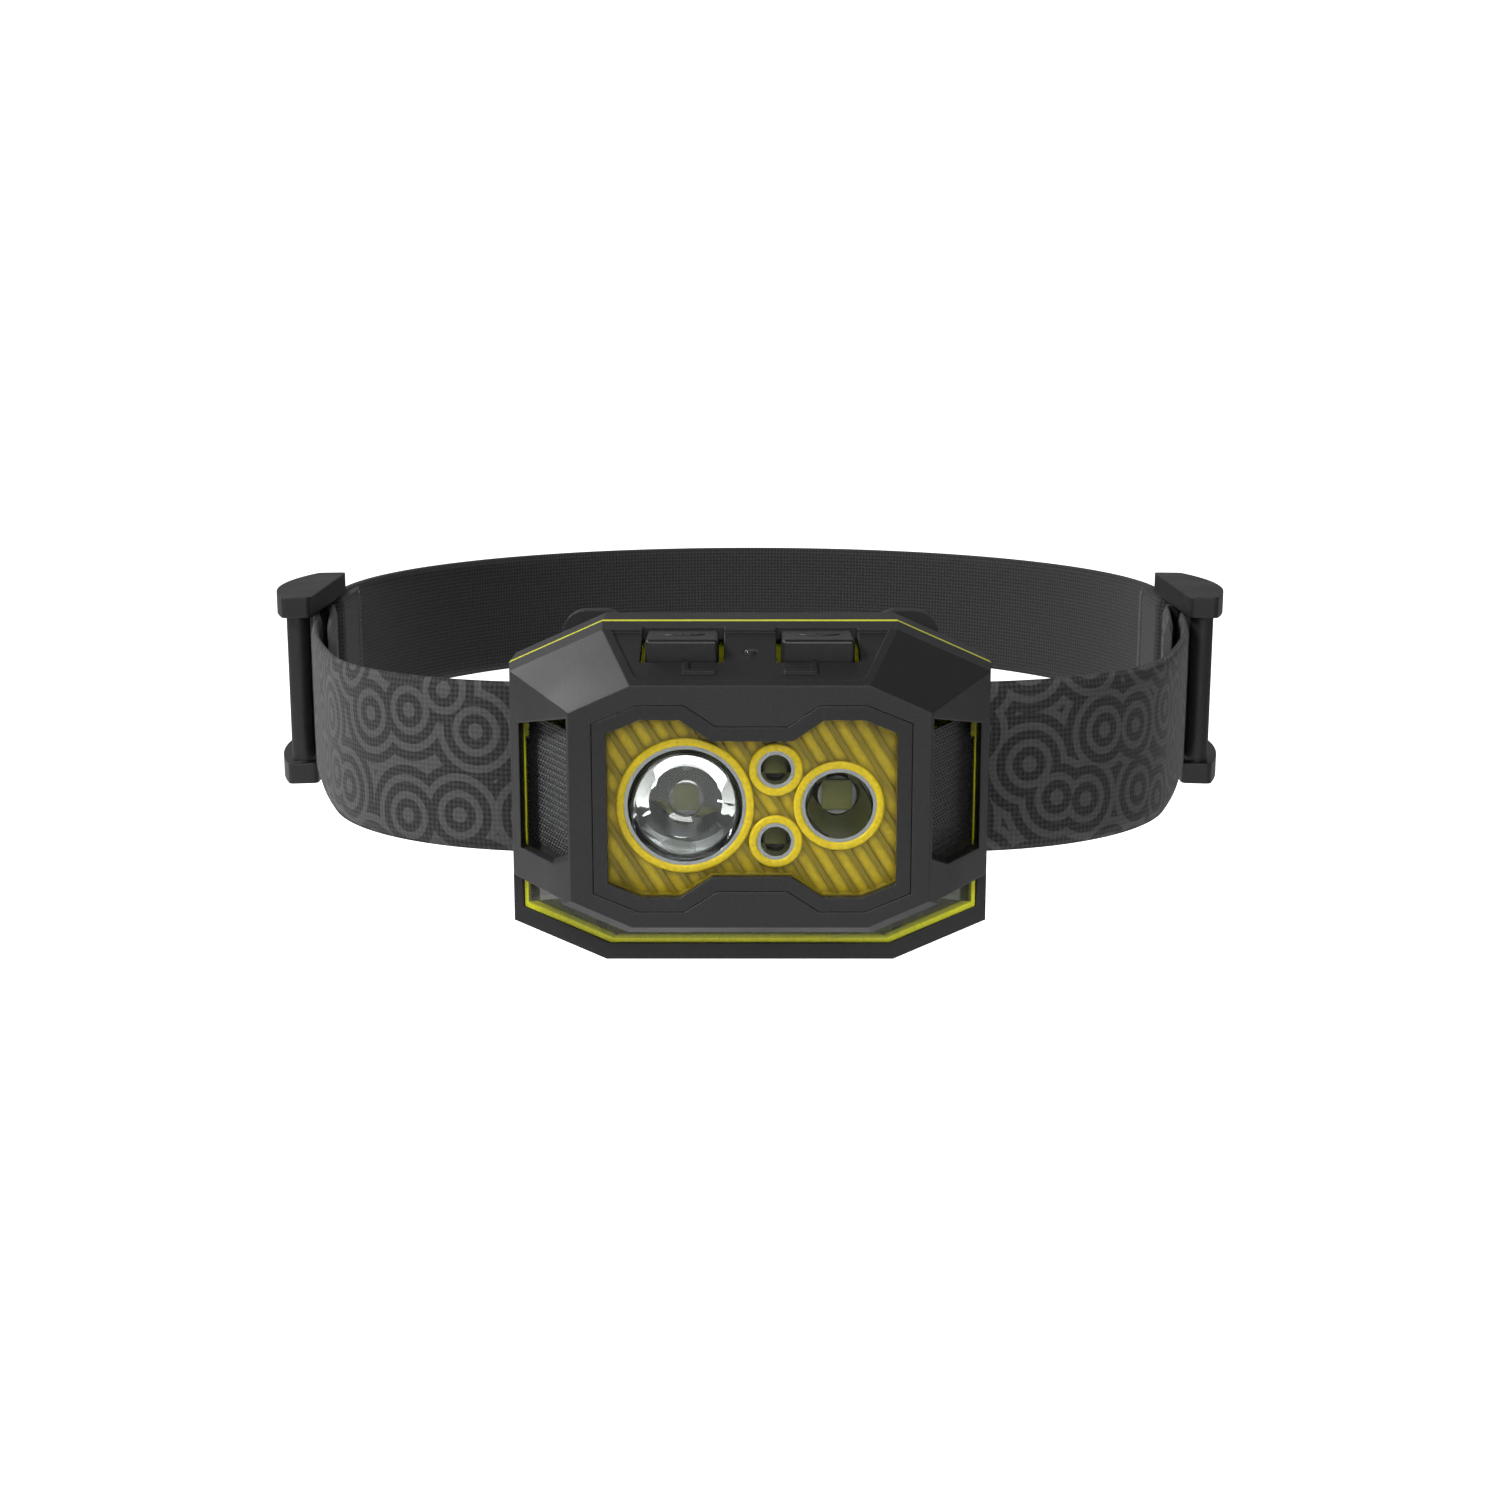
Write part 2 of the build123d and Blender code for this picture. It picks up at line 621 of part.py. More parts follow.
board_back_y = LAMP_BACK - HOUSING_BACK_WALL - POST_HEIGHT
board_front_y = board_back_y - MAIN_BOARD_THICK
battery = one(fillet(block(
    (-BATTERY[0] / 2, BATTERY[0] / 2), (RIM_BACK, RIM_BACK + BATTERY[1]),
    (BATTERY_Z - BATTERY[2] / 2, BATTERY_Z + BATTERY[2] / 2)).edges().filter_by(Axis.Z), 1.5))
board_half = BATTERY[0] / 2
main_board = block((-board_half, board_half), (board_front_y, board_back_y), (-13.5, 15.0))
main_board += block((board_half, socket_mouth - 1.5), (board_front_y, board_back_y), (-7.0, 7.0))
main_board = one(main_board)


def make_socket():
    """Metal sleeve with its tongue, mouth towards +X."""
    back = socket_mouth - SOCKET_LENGTH
    body = yz_slot(SOCKET_SHELL[0], SOCKET_SHELL[1], back, socket_mouth)
    body -= yz_slot(SOCKET_OPENING[0], SOCKET_OPENING[1], back + 1.0, socket_mouth)
    body += block((back + 0.5, socket_mouth - 0.6), (port_y - TONGUE[1] / 2, port_y + TONGUE[1] / 2),
                  (-TONGUE[0] / 2, TONGUE[0] / 2))
    return one(body)


def make_cover():
    """Rubber flap in its pocket, with a plug in the socket opening and a pull tab."""
    half = COVER_SIZE[0] / 2
    body = block((cover_inner, side_x), (port_y - COVER_SIZE[1] / 2, port_y + COVER_SIZE[1] / 2),
                 (-half, half))
    body = fillet(body.edges().filter_by(Axis.X), 1.0)
    body += yz_slot(plug_size[0] - 2 * COVER_GAP, plug_size[1] - 2 * COVER_GAP,
                    cover_inner - COVER_PLUG_DEPTH, cover_inner)
    body += block((side_x, side_x + 0.6), (port_y - 2.0, port_y + 2.0),
                  (half - COVER_TAB, half - COVER_TAB * 0.4))
    return one(body)


usb_port = make_socket()
usb_cover = make_cover()

# ---- lamp: front shell -----------------------------------------------------------------

facet_run = BAND_FRONT - FACE
facet_drop = BAND[1] - FACE_OUTLINE[1]
facet_length = sqrt(facet_run ** 2 + facet_drop ** 2)
facet_plane = Plane(
    origin=(0, (BAND_FRONT + FACE) / 2, (BAND[1] + FACE_OUTLINE[1]) / 2),
    x_dir=(1, 0, 0),
    z_dir=(0, -facet_drop, facet_run),
)
panel_front = -facet_length / 2 + 1.6


def facet_height(y):
    """Z of the top facet's surface at a given Y."""
    return BAND[1] - (BAND_FRONT - y) * facet_drop / facet_run


def bow_tie(grow):
    """Outline of the front insert, moved out by grow: two lobes joined by a waist."""
    lobe = [(-18.4, 12.1), (-14.2, 13.8), (-9.1, 13.8), (-5.1, 11.1)]
    foot = [(-5.1, -6.6), (-9.2, -9.3), (-14.1, -9.3), (-18.4, -7.5)]
    right = [(-x, z) for x, z in reversed(lobe)] + [(-x, z) for x, z in reversed(foot)]
    outline = Polyline(*(lobe + right + foot), close=True)
    face = make_face(Pos(WAIST_SHIFT, 0) * outline)
    return face if grow == 0 else offset(face, amount=grow, kind=Kind.INTERSECTION)


WAIST_SHIFT = 0.25
INSERT_GROW = 1.9


def insert_slab(grow, y_back, y_front):
    return extrude(front_plane(y_back) * bow_tie(grow), amount=y_back - y_front)


def side_window():
    """Opening in the right hand side facet, cut straight from the front."""
    points = [
        (WINDOW_OUTER, WINDOW_TOP[0]), (WINDOW_INNER, WINDOW_TOP[1]),
        (WINDOW_INNER, WINDOW_BOTTOM[1]), (WINDOW_CORNER_X, WINDOW_BOTTOM[0]),
        (WINDOW_OUTER, WINDOW_BOTTOM[0]),
    ]
    return slab(points, RIM_FRONT, FACE - 1)


def ridge(side):
    """Small raised L beside a button, on the sunken panel."""
    x = side * 8.2
    upright_bar = Pos(x, -2.5) * Rectangle(RIDGE_WIDTH, 3.0)
    foot = Pos(x - side * 1.7, -3.6) * Rectangle(4.2, RIDGE_WIDTH)
    return extrude(facet_plane * Pos(0, 0, -PANEL_DEPTH - 0.1) * (upright_bar + foot),
                   amount=RIDGE_HEIGHT + 0.1)


def make_shell():
    far = 60.0
    body = frustum(RIM, BAND, RIM_FRONT, BAND_FRONT)
    body += frustum(BAND, FACE_OUTLINE, BAND_FRONT, FACE)
    inner_front = FACE + FACE_WALL
    share = (BAND_FRONT - inner_front) / facet_run
    front_cut = shrink(blend_outline(BAND, FACE_OUTLINE, share), SHELL_WALL)
    body -= frustum(shrink(RIM, SHELL_WALL), shrink(BAND, SHELL_WALL), RIM_FRONT, BAND_FRONT)
    body -= frustum(shrink(BAND, SHELL_WALL), front_cut, BAND_FRONT, inner_front)
    # open underside: only the front plate and the two side arms reach down
    body -= block((-far, far), (inner_front, RIM_FRONT), (-far, ARM_BOTTOM))
    window = side_window()
    body -= window + mirrored(window)
    # skirts close the sides of the chassis between crown and housing lip
    skirt = slab(rim_points, RIM_BACK, RIM_FRONT) - slab(skirt_points, RIM_BACK, RIM_FRONT)
    skirt &= block((-far, far), (RIM_FRONT, RIM_BACK), (SKIRT_BOTTOM, SKIRT_TOP))
    body += skirt
    # sunken panel round the buttons
    panel = make_face(Polyline(
        (-PANEL_HALF_BACK, facet_length / 2), (PANEL_HALF_BACK, facet_length / 2),
        (PANEL_HALF_FRONT, panel_front), (-PANEL_HALF_FRONT, panel_front), close=True))
    panel = fillet(panel.vertices().group_by(Axis.Y)[0], PANEL_CORNER)
    body -= extrude(facet_plane * panel, amount=-PANEL_DEPTH)
    for side in (-1, 1):
        x = side * BUTTON_X
        half = BUTTON_HALF + BUTTON_SIDE_GAP
        body -= block((x - half, x + half),
                      (BUTTON_FRONT - BUTTON_END_GAP, BUTTON_BACK + BUTTON_END_GAP),
                      (PEDESTAL_TOP, far))
        body += ridge(side)
    body -= Pos(0, CHARGE_LIGHT_Y, 20) * Cylinder(CHARGE_LIGHT_RADIUS + CHARGE_LIGHT_FIT, 12)
    body -= insert_slab(INSERT_GROW, inner_front, FACE)
    return one(body)


front_shell = make_shell()

# ---- lamp: diffuser and side lights ----------------------------------------------------


def make_diffuser():
    """Clear U that shows in the side windows and closes the lower front."""
    far = 60.0
    front = FACE + FACE_WALL
    body = frustum(DIFFUSER_REAR, DIFFUSER_FRONT, RIM_FRONT, front)
    body -= frustum(shrink(DIFFUSER_REAR, DIFFUSER_WALL), shrink(DIFFUSER_FRONT, DIFFUSER_WALL),
                    RIM_FRONT, front)
    top_back = octagon_points(DIFFUSER_REAR)[1][1]
    body -= block((-far, far), (front, RIM_FRONT), (top_back, far))
    return body


side_diffuser = one(make_diffuser())


def make_side_boards():
    """A small board with three light sources behind each side window."""
    x = PEDESTAL_HALF + SIDE_BOARD_THICK
    body = block((PEDESTAL_HALF, x), (-135.6, -129.0), (-8.0, 11.0))
    for z in SIDE_LED_Z:
        body += block((x, x + SIDE_LED_HEIGHT), (-132.3 - SIDE_LED / 2, -132.3 + SIDE_LED / 2),
                      (z - SIDE_LED / 2, z + SIDE_LED / 2))
    body = one(body)
    return Compound(children=[body, mirrored(body)])


side_light_boards = make_side_boards()

# ---- lamp: front insert ----------------------------------------------------------------

bezel_back = FACE + BEZEL_THICK
window_back = bezel_back + WINDOW_THICK
plate_front = FACE + FACE_WALL
plate_back = plate_front + PLATE_THICK
fit_grow = INSERT_GROW - BEZEL_GAP

bezel_ring = one(insert_slab(fit_grow, bezel_back, FACE) - insert_slab(0, bezel_back, FACE))
front_window = one(insert_slab(fit_grow, window_back, bezel_back))
window_seal = one(insert_slab(fit_grow - SEAL_INSET, plate_front, window_back)
                  - insert_slab(fit_grow - SEAL_INSET - SEAL_BAND, plate_front, window_back))


def rib_field():
    """Slanted ribs across the reflector plate."""
    ribs = []
    for index in range(-9, 10):
        strip = Rotation(0, 0, RIB_ANGLE) * Pos(0, index * RIB_PITCH) * Rectangle(60, RIB_WIDTH)
        ribs.append(strip)
    field = ribs[0]
    for strip in ribs[1:]:
        field += strip
    return field


def make_plate():
    light_places = (SPOT, FLOOD) + REDS
    body = insert_slab(INSERT_GROW + PLATE_LIP, plate_back, plate_front)
    pockets = bow_tie(0.05) - rib_field()
    for x, z, radius in light_places:
        pockets -= Pos(x, z) * Circle(radius + BOSS_WALL)
    body -= extrude(front_plane(plate_front) * pockets, amount=-RIB_HEIGHT)
    for x, z, radius in light_places:
        body -= disc(x, z, radius, plate_back, plate_front)
    return one(body)


reflector_plate = make_plate()


def make_cup(light, led_half, led_y):
    """Parabolic cup from the plate's front face down to its light source."""
    x, z, mouth = light
    mouth -= CUP_FIT
    throat = led_half * 1.15 + LED_CLEARANCE
    depth = led_y - plate_front
    inner_mouth = mouth - CUP_WALL
    middle = (throat + inner_mouth) * 0.5 + (inner_mouth - throat) * 0.16
    # local x is the radius, local y runs from the light source to the mouth
    inner = ThreePointArc((throat, 0), (middle, depth * 0.45), (inner_mouth, depth))
    outer_low = (throat + CUP_WALL, 0)
    shoulder_y = depth - PLATE_THICK
    waist = mouth - CUP_WALL * 0.5
    outline = [inner, Line((inner_mouth, depth), (mouth, depth)),
               Line((mouth, depth), (mouth, shoulder_y)),
               Line((mouth, shoulder_y), (waist, shoulder_y - CUP_FLANGE)),
               Line((waist, shoulder_y - CUP_FLANGE), outer_low),
               Line(outer_low, (throat, 0))]
    profile = make_face(Wire(outline))
    turned = revolve(Plane.XZ * profile, axis=Axis.Z)
    # the turned cup opens to +Z: lay it down so that it opens forward
    return one(Pos(x, led_y, z) * Rotation(90, 0, 0) * turned)


red_led_y = LED_PLANE - RED_LIFT
spot_reflector = make_cup(SPOT, SPOT_LED / 2, LED_PLANE)
flood_reflector = make_cup(FLOOD, FLOOD_LED / 2, LED_PLANE)
red_reflectors = Compound(children=[make_cup(red, RED_LED / 2, red_led_y) for red in REDS])


def make_led(light, size, led_y):
    """Square light source standing on the light board."""
    x, z, _ = light
    half = size / 2
    return one(block((x - half, x + half), (led_y, BOARD_FRONT), (z - half, z + half)))


spot_led = make_led(SPOT, SPOT_LED, LED_PLANE)
flood_led = make_led(FLOOD, FLOOD_LED, LED_PLANE)
red_leds = Compound(children=[make_led(red, RED_LED, red_led_y) for red in REDS])
led_board = one(block((-PEDESTAL_HALF, PEDESTAL_HALF), (BOARD_FRONT, BOARD_FRONT + BOARD_THICK),
                      (PEDESTAL_BOTTOM, PEDESTAL_TOP)))


def make_lens():
    """Clear collimator that sits inside the spot cup, tip towards the light source."""
    x, z, _ = SPOT
    low = LED_CLEARANCE + 0.9
    depth = LED_PLANE - plate_front - 0.2
    rim = depth - 0.8
    profile = make_face(Polyline(
        (0, low), (LENS_TIP_RADIUS, low), (LENS_RADIUS * 0.72, depth * 0.55),
        (LENS_RADIUS * 0.97, rim), (LENS_RADIUS, rim), (LENS_RADIUS, depth), (0, depth),
        close=True))
    turned = revolve(Plane.XZ * profile, axis=Axis.Z)
    return one(Pos(x, LED_PLANE, z) * Rotation(90, 0, 0) * turned)


spot_lens = make_lens()

# ---- lamp: buttons and switches --------------------------------------------------------

flange_bottom = FLANGE_TOP - FLANGE_THICK


def make_button(side):
    """Flat topped key with a flange that keeps it inside the shell."""
    x = side * BUTTON_X
    key = block((x - BUTTON_HALF, x + BUTTON_HALF), (BUTTON_FRONT, BUTTON_BACK),
                (flange_bottom, BUTTON_TOP))
    key = fillet(key.edges().filter_by(Axis.Z) + key.faces().sort_by(Axis.Z)[-1].edges(),
                 BUTTON_CORNER)
    half = BUTTON_HALF + FLANGE_MARGIN
    flange = block((x - half, x + half), (BUTTON_FRONT - FLANGE_MARGIN, BUTTON_BACK + 0.2),
                   (flange_bottom, FLANGE_TOP))
    return one(key + flange)


left_button = make_button(1)
right_button = make_button(-1)

switch_board_top = PEDESTAL_TOP + SWITCH_BOARD_THICK
switch_board = block((-SWITCH_BOARD_HALF, SWITCH_BOARD_HALF),
                     (SWITCH_BOARD_Y[1], SWITCH_BOARD_Y[0]), (PEDESTAL_TOP, switch_board_top))
switch_board += block((-1, 1), (CHARGE_LIGHT_Y - 1, CHARGE_LIGHT_Y + 1),
                      (switch_board_top, switch_board_top + CHIP_HEIGHT))
switch_board = one(switch_board)


def make_switches():
    """Two press switches under the keys."""
    switches = []
    top = flange_bottom - BUTTON_TRAVEL - SWITCH_PLUNGER_GAP
    for side in (-1, 1):
        x = side * BUTTON_X
        half = SWITCH_BODY[0] / 2
        body = block((x - half, x + half), (SWITCH_Y - half, SWITCH_Y + half),
                     (switch_board_top, switch_board_top + SWITCH_BODY[2]))
        stem = top - switch_board_top
        body += Pos(x, SWITCH_Y, switch_board_top + stem / 2) * Cylinder(
            SWITCH_PLUNGER_RADIUS, stem)
        switches.append(one(body))
    return Compound(children=switches)


press_switches = make_switches()

light_low = switch_board_top + CHIP_HEIGHT
light_high = facet_height(CHARGE_LIGHT_Y) - PANEL_DEPTH + 0.3
charge_light = Pos(0, CHARGE_LIGHT_Y, (light_low + light_high) / 2) * Cylinder(
    CHARGE_LIGHT_RADIUS, light_high - light_low)
charge_light = one(fillet(charge_light.edges().sort_by(Axis.Z)[-1], 0.4))

# ---- export ----------------------------------------------------------------------------

nodes = {
    "strap_front": strap_front,
    "strap_rear": strap_rear,
    "left_buckle": left_buckle,
    "right_buckle": right_buckle,
    "bracket": bracket,
    "forehead_pad": forehead_pad,
    "pivot_pin": pivot_pin,
    "rear_housing": rear_housing,
    "housing_gasket": housing_gasket,
    "housing_screws": housing_screws,
    "chassis_ring": chassis_ring,
    "battery": battery,
    "main_board": main_board,
    "usb_port": usb_port,
    "usb_cover": usb_cover,
    "front_shell": front_shell,
    "side_diffuser": side_diffuser,
    "side_light_boards": side_light_boards,
    "bezel_ring": bezel_ring,
    "front_window": front_window,
    "window_seal": window_seal,
    "reflector_plate": reflector_plate,
    "spot_reflector": spot_reflector,
    "flood_reflector": flood_reflector,
    "red_reflectors": red_reflectors,
    "spot_lens": spot_lens,
    "spot_led": spot_led,
    "flood_led": flood_led,
    "red_leds": red_leds,
    "led_board": led_board,
    "left_button": left_button,
    "right_button": right_button,
    "switch_board": switch_board,
    "press_switches": press_switches,
    "charge_light": charge_light,
}

os.makedirs("parts", exist_ok=True)
for name, shape in nodes.items():
    export_step(shape, f"parts/{name}.step")
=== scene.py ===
"""A camping headlamp's looks, laid out as an add-on and run as a script.

Metres: -Y is the way the lamp points, +Z is up, and the origin is the centre of
the head opening at half strap height.
"""

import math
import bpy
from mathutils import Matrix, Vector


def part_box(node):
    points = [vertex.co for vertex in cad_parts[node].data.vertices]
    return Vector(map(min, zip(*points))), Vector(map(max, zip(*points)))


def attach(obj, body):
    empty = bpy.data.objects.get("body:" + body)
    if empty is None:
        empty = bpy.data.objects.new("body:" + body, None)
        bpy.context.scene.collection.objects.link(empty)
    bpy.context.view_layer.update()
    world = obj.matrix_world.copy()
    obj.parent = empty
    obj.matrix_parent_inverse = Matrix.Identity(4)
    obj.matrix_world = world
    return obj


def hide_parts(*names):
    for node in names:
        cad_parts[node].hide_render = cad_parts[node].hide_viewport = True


bl_info = {
    "name": "Headlamp",
    "version": (1, 0, 0),
    "blender": (4, 5, 0),
    "location": "View3D > Sidebar > Headlamp",
    "description": "Builds a headlamp's finishes and soft pieces around its packed frame",
    "category": "Add Mesh",
}

import bmesh
import bpy
import numpy as np
from mathutils import Matrix, Vector

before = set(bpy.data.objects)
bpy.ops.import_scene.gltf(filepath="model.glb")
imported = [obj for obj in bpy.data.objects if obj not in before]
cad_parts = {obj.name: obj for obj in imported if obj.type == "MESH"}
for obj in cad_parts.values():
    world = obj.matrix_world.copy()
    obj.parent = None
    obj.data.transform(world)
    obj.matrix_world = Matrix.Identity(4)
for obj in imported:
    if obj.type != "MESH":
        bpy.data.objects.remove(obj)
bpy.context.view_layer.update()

MM = 0.001

# ---- colours ---------------------------------------------------------------------------


def linear(hex_colour):
    """An sRGB hex colour as linear red, green, blue and alpha."""
    values = [int(hex_colour[i:i + 2], 16) / 255 for i in (1, 3, 5)]
    curve = [v / 12.92 if v <= 0.04045 else ((v + 0.055) / 1.055) ** 2.4 for v in values]
    return tuple(curve) + (1.0,)


# ---- settings --------------------------------------------------------------------------


class HeadlampSizes(bpy.types.PropertyGroup):
    """Sizes that a user would change."""
    strap_width: bpy.props.FloatProperty(
        name="Strap width", description="Width of the woven elastic", default=0.025,
        unit="LENGTH")
    strap_thick: bpy.props.FloatProperty(
        name="Strap thickness", description="Thickness of the woven elastic", default=0.0013,
        unit="LENGTH")
    stitch_pitch: bpy.props.FloatProperty(
        name="Stitch pitch", description="Length of one zigzag along the seam",
        default=0.0011, unit="LENGTH")
    thread: bpy.props.FloatProperty(
        name="Thread", description="Diameter of the sewing thread", default=0.00032,
        unit="LENGTH")
    prism_pitch: bpy.props.FloatProperty(
        name="Prism pitch", description="Spacing of the prisms in the side windows",
        default=0.00062, unit="LENGTH")


class HeadlampColours(bpy.types.PropertyGroup):
    """Colours that a user would change, linear."""
    shell: bpy.props.FloatVectorProperty(
        name="Shell", description="Moulded black plastic", subtype="COLOR", size=4,
        min=0, max=1, default=linear("#1f1f20"))
    plate: bpy.props.FloatVectorProperty(
        name="Reflector plate", description="Grained yellow plastic", subtype="COLOR",
        size=4, min=0, max=1, default=linear("#e3c400"))
    trim: bpy.props.FloatVectorProperty(
        name="Chassis", description="Lime yellow anodised edge", subtype="COLOR", size=4,
        min=0, max=1, default=linear("#e6e619"))
    strap: bpy.props.FloatVectorProperty(
        name="Strap", description="Ground colour of the elastic", subtype="COLOR", size=4,
        min=0, max=1, default=linear("#2f2f30"))
    motif: bpy.props.FloatVectorProperty(
        name="Strap motif", description="Lighter yarn of the woven rings", subtype="COLOR",
        size=4, min=0, max=1, default=linear("#4d4d4e"))


# ---- node and material helpers ---------------------------------------------------------


def add_node(tree, kind, inputs=None, **settings):
    """Adds a node, with its settings, and values or links for its inputs."""
    made = tree.nodes.new(kind)
    for key, value in settings.items():
        setattr(made, key, value)
    for key, value in (inputs or {}).items():
        if isinstance(value, bpy.types.NodeSocket):
            tree.links.new(value, made.inputs[key])
        else:
            made.inputs[key].default_value = value
    return made


def new_material(name):
    """An empty material and its tree, with only an output."""
    made = bpy.data.materials.new(name)
    made.use_nodes = True
    made.node_tree.nodes.clear()
    return made, made.node_tree


def finish_material(made, tree, shader):
    """The material, with the shader joined to its output."""
    output = add_node(tree, "ShaderNodeOutputMaterial", {"Surface": shader})
    output.location = (600, 0)
    return made


def per_metre(millimetres):
    """Texture scale whose features are that many millimetres across."""
    return 1.0 / (millimetres * MM)


def scaled(colour, factor):
    """A linear colour made darker or lighter, with alpha 1."""
    return tuple(min(1.0, c * factor) for c in colour[:3]) + (1.0,)


def edge_mask(tree, radius):
    """Rounded normal near sharp edges, and a mask that is bright on those edges, where a
    painted highlight goes.
    """
    bevel = add_node(tree, "ShaderNodeBevel", {"Radius": radius}, samples=6)
    shape = add_node(tree, "ShaderNodeNewGeometry")
    dot = add_node(tree, "ShaderNodeVectorMath",
                   {0: bevel.outputs["Normal"], 1: shape.outputs["Normal"]},
                   operation="DOT_PRODUCT")
    mask = add_node(tree, "ShaderNodeMapRange",
                    {"Value": dot.outputs["Value"], "From Min": 1.0, "From Max": 0.85})
    return bevel.outputs["Normal"], mask.outputs["Result"]


def moulded(name, colour, grain=0.35, depth=0.012, rough=0.46, edge=0.3, spread=0.12,
            grooves=0.0):
    """Injection moulded plastic: fine spark grain in the gloss, soft edges lightened by a
    painted highlight, and slow cloudy change in roughness where the melt flowed."""
    made, tree = new_material(name)
    place = add_node(tree, "ShaderNodeTexCoord").outputs["Object"]
    grains = add_node(tree, "ShaderNodeTexNoise",
                      {"Vector": place, "Scale": per_metre(grain), "Detail": 2.0,
                       "Roughness": 0.6})
    clouds = add_node(tree, "ShaderNodeTexNoise",
                      {"Vector": place, "Scale": per_metre(14.0), "Detail": 3.0})
    normal, highlit_edges = edge_mask(tree, edge * MM)
    tint = add_node(tree, "ShaderNodeMapRange",
                    {"Value": grains.outputs["Fac"], "From Min": 0.3, "From Max": 0.7})
    ground = add_node(tree, "ShaderNodeMix",
                      {"Factor": tint.outputs["Result"], "A": scaled(colour, 1 - spread * 2),
                       "B": scaled(colour, 1 + spread * 2)}, data_type="RGBA")
    # painted highlight: sharp edges are mixed towards a much lighter colour
    painted_edge_highlight = add_node(tree, "ShaderNodeMath", {0: highlit_edges, 1: 0.35}, operation="MULTIPLY")
    paint = add_node(tree, "ShaderNodeMix",
                     {"Factor": painted_edge_highlight.outputs[0], "A": ground.outputs["Result"],
                      "B": scaled(colour, 3.0)}, data_type="RGBA")
    if grooves > 0:
        # shade gathers in the sunken panels between ribs
        open_sky = add_node(tree, "ShaderNodeAmbientOcclusion", {"Distance": grooves * MM})
        lit = add_node(tree, "ShaderNodeMapRange",
                       {"Value": open_sky.outputs["AO"], "From Min": 0.35, "From Max": 0.95})
        paint = add_node(tree, "ShaderNodeMix",
                         {"Factor": lit.outputs["Result"], "A": scaled(colour, 0.35),
                          "B": paint.outputs["Result"]}, data_type="RGBA")
    gloss = add_node(tree, "ShaderNodeMapRange",
                     {"Value": clouds.outputs["Fac"], "From Min": 0.3, "From Max": 0.7,
                      "To Min": rough - 0.05, "To Max": rough + 0.05})
    bump = add_node(tree, "ShaderNodeBump",
                    {"Height": grains.outputs["Fac"], "Distance": depth * MM,
                     "Strength": 1.0, "Normal": normal})
    shader = add_node(tree, "ShaderNodeBsdfPrincipled",
                      {"Base Color": paint.outputs["Result"],
                       "Roughness": gloss.outputs["Result"],
                       "Normal": bump.outputs["Normal"], "IOR": 1.5})
    return finish_material(made, tree, shader.outputs["BSDF"])


def metal(name, colour, rough=0.25, brushed=0.0):
    """Bare or plated metal: a thin haze of fine scratches breaks up the reflection."""
    made, tree = new_material(name)
    place = add_node(tree, "ShaderNodeTexCoord").outputs["Object"]
    stretch = add_node(tree, "ShaderNodeMapping",
                       {"Vector": place, "Scale": (1.0, 1.0, 1.0 + brushed * 20)})
    scratches = add_node(tree, "ShaderNodeTexNoise",
                         {"Vector": stretch.outputs["Vector"], "Scale": per_metre(0.6),
                          "Detail": 4.0})
    gloss = add_node(tree, "ShaderNodeMapRange",
                     {"Value": scratches.outputs["Fac"], "From Min": 0.3, "From Max": 0.7,
                      "To Min": max(0.0, rough - 0.04), "To Max": rough + 0.04})
    shader = add_node(tree, "ShaderNodeBsdfPrincipled",
                      {"Base Color": colour, "Metallic": 1.0,
                       "Roughness": gloss.outputs["Result"]})
    return finish_material(made, tree, shader.outputs["BSDF"])


def clear(name, tint, gloss_share=1.0, rough=0.02, haze=0.0):
    """Clear moulded polycarbonate: light goes straight through, and the skin mirrors more
    at a slant. A little haze stands in for the frosted inner face."""
    made, tree = new_material(name)
    place = add_node(tree, "ShaderNodeTexCoord").outputs["Object"]
    ripple = add_node(tree, "ShaderNodeTexNoise",
                      {"Vector": place, "Scale": per_metre(6.0), "Detail": 1.0})
    bump = add_node(tree, "ShaderNodeBump",
                    {"Height": ripple.outputs["Fac"], "Distance": 0.02 * MM, "Strength": 0.3})
    through = add_node(tree, "ShaderNodeBsdfTransparent", {"Color": tint})
    skin = add_node(tree, "ShaderNodeBsdfGlossy",
                    {"Color": (1, 1, 1, 1), "Roughness": rough,
                     "Normal": bump.outputs["Normal"]})
    slant = add_node(tree, "ShaderNodeFresnel", {"IOR": 1.5})
    share = add_node(tree, "ShaderNodeMath", {0: slant.outputs["Fac"], 1: gloss_share},
                     operation="MULTIPLY", use_clamp=True)
    mixed = add_node(tree, "ShaderNodeMixShader",
                     {"Fac": share.outputs[0], 1: through.outputs["BSDF"],
                      2: skin.outputs["BSDF"]})
    result = mixed.outputs["Shader"]
    if haze > 0:
        milk = add_node(tree, "ShaderNodeBsdfDiffuse", {"Color": (0.6, 0.6, 0.6, 1)})
        hazed = add_node(tree, "ShaderNodeMixShader",
                         {"Fac": haze, 1: result, 2: milk.outputs["BSDF"]})
        result = hazed.outputs["Shader"]
    return finish_material(made, tree, result)


def collimator(name):
    """Polished acrylic: bends and mirrors the cup behind it into dark and bright rings."""
    made, tree = new_material(name)
    place = add_node(tree, "ShaderNodeTexCoord").outputs["Object"]
    flow = add_node(tree, "ShaderNodeTexNoise",
                    {"Vector": place, "Scale": per_metre(4.0), "Detail": 1.0})
    bump = add_node(tree, "ShaderNodeBump",
                    {"Height": flow.outputs["Fac"], "Distance": 0.05 * MM, "Strength": 0.4})
    shader = add_node(tree, "ShaderNodeBsdfPrincipled",
                      {"Base Color": (0.96, 0.97, 0.97, 1), "Roughness": 0.02,
                       "Transmission Weight": 1.0, "IOR": 1.49,
                       "Normal": bump.outputs["Normal"]})
    return finish_material(made, tree, shader.outputs["BSDF"])


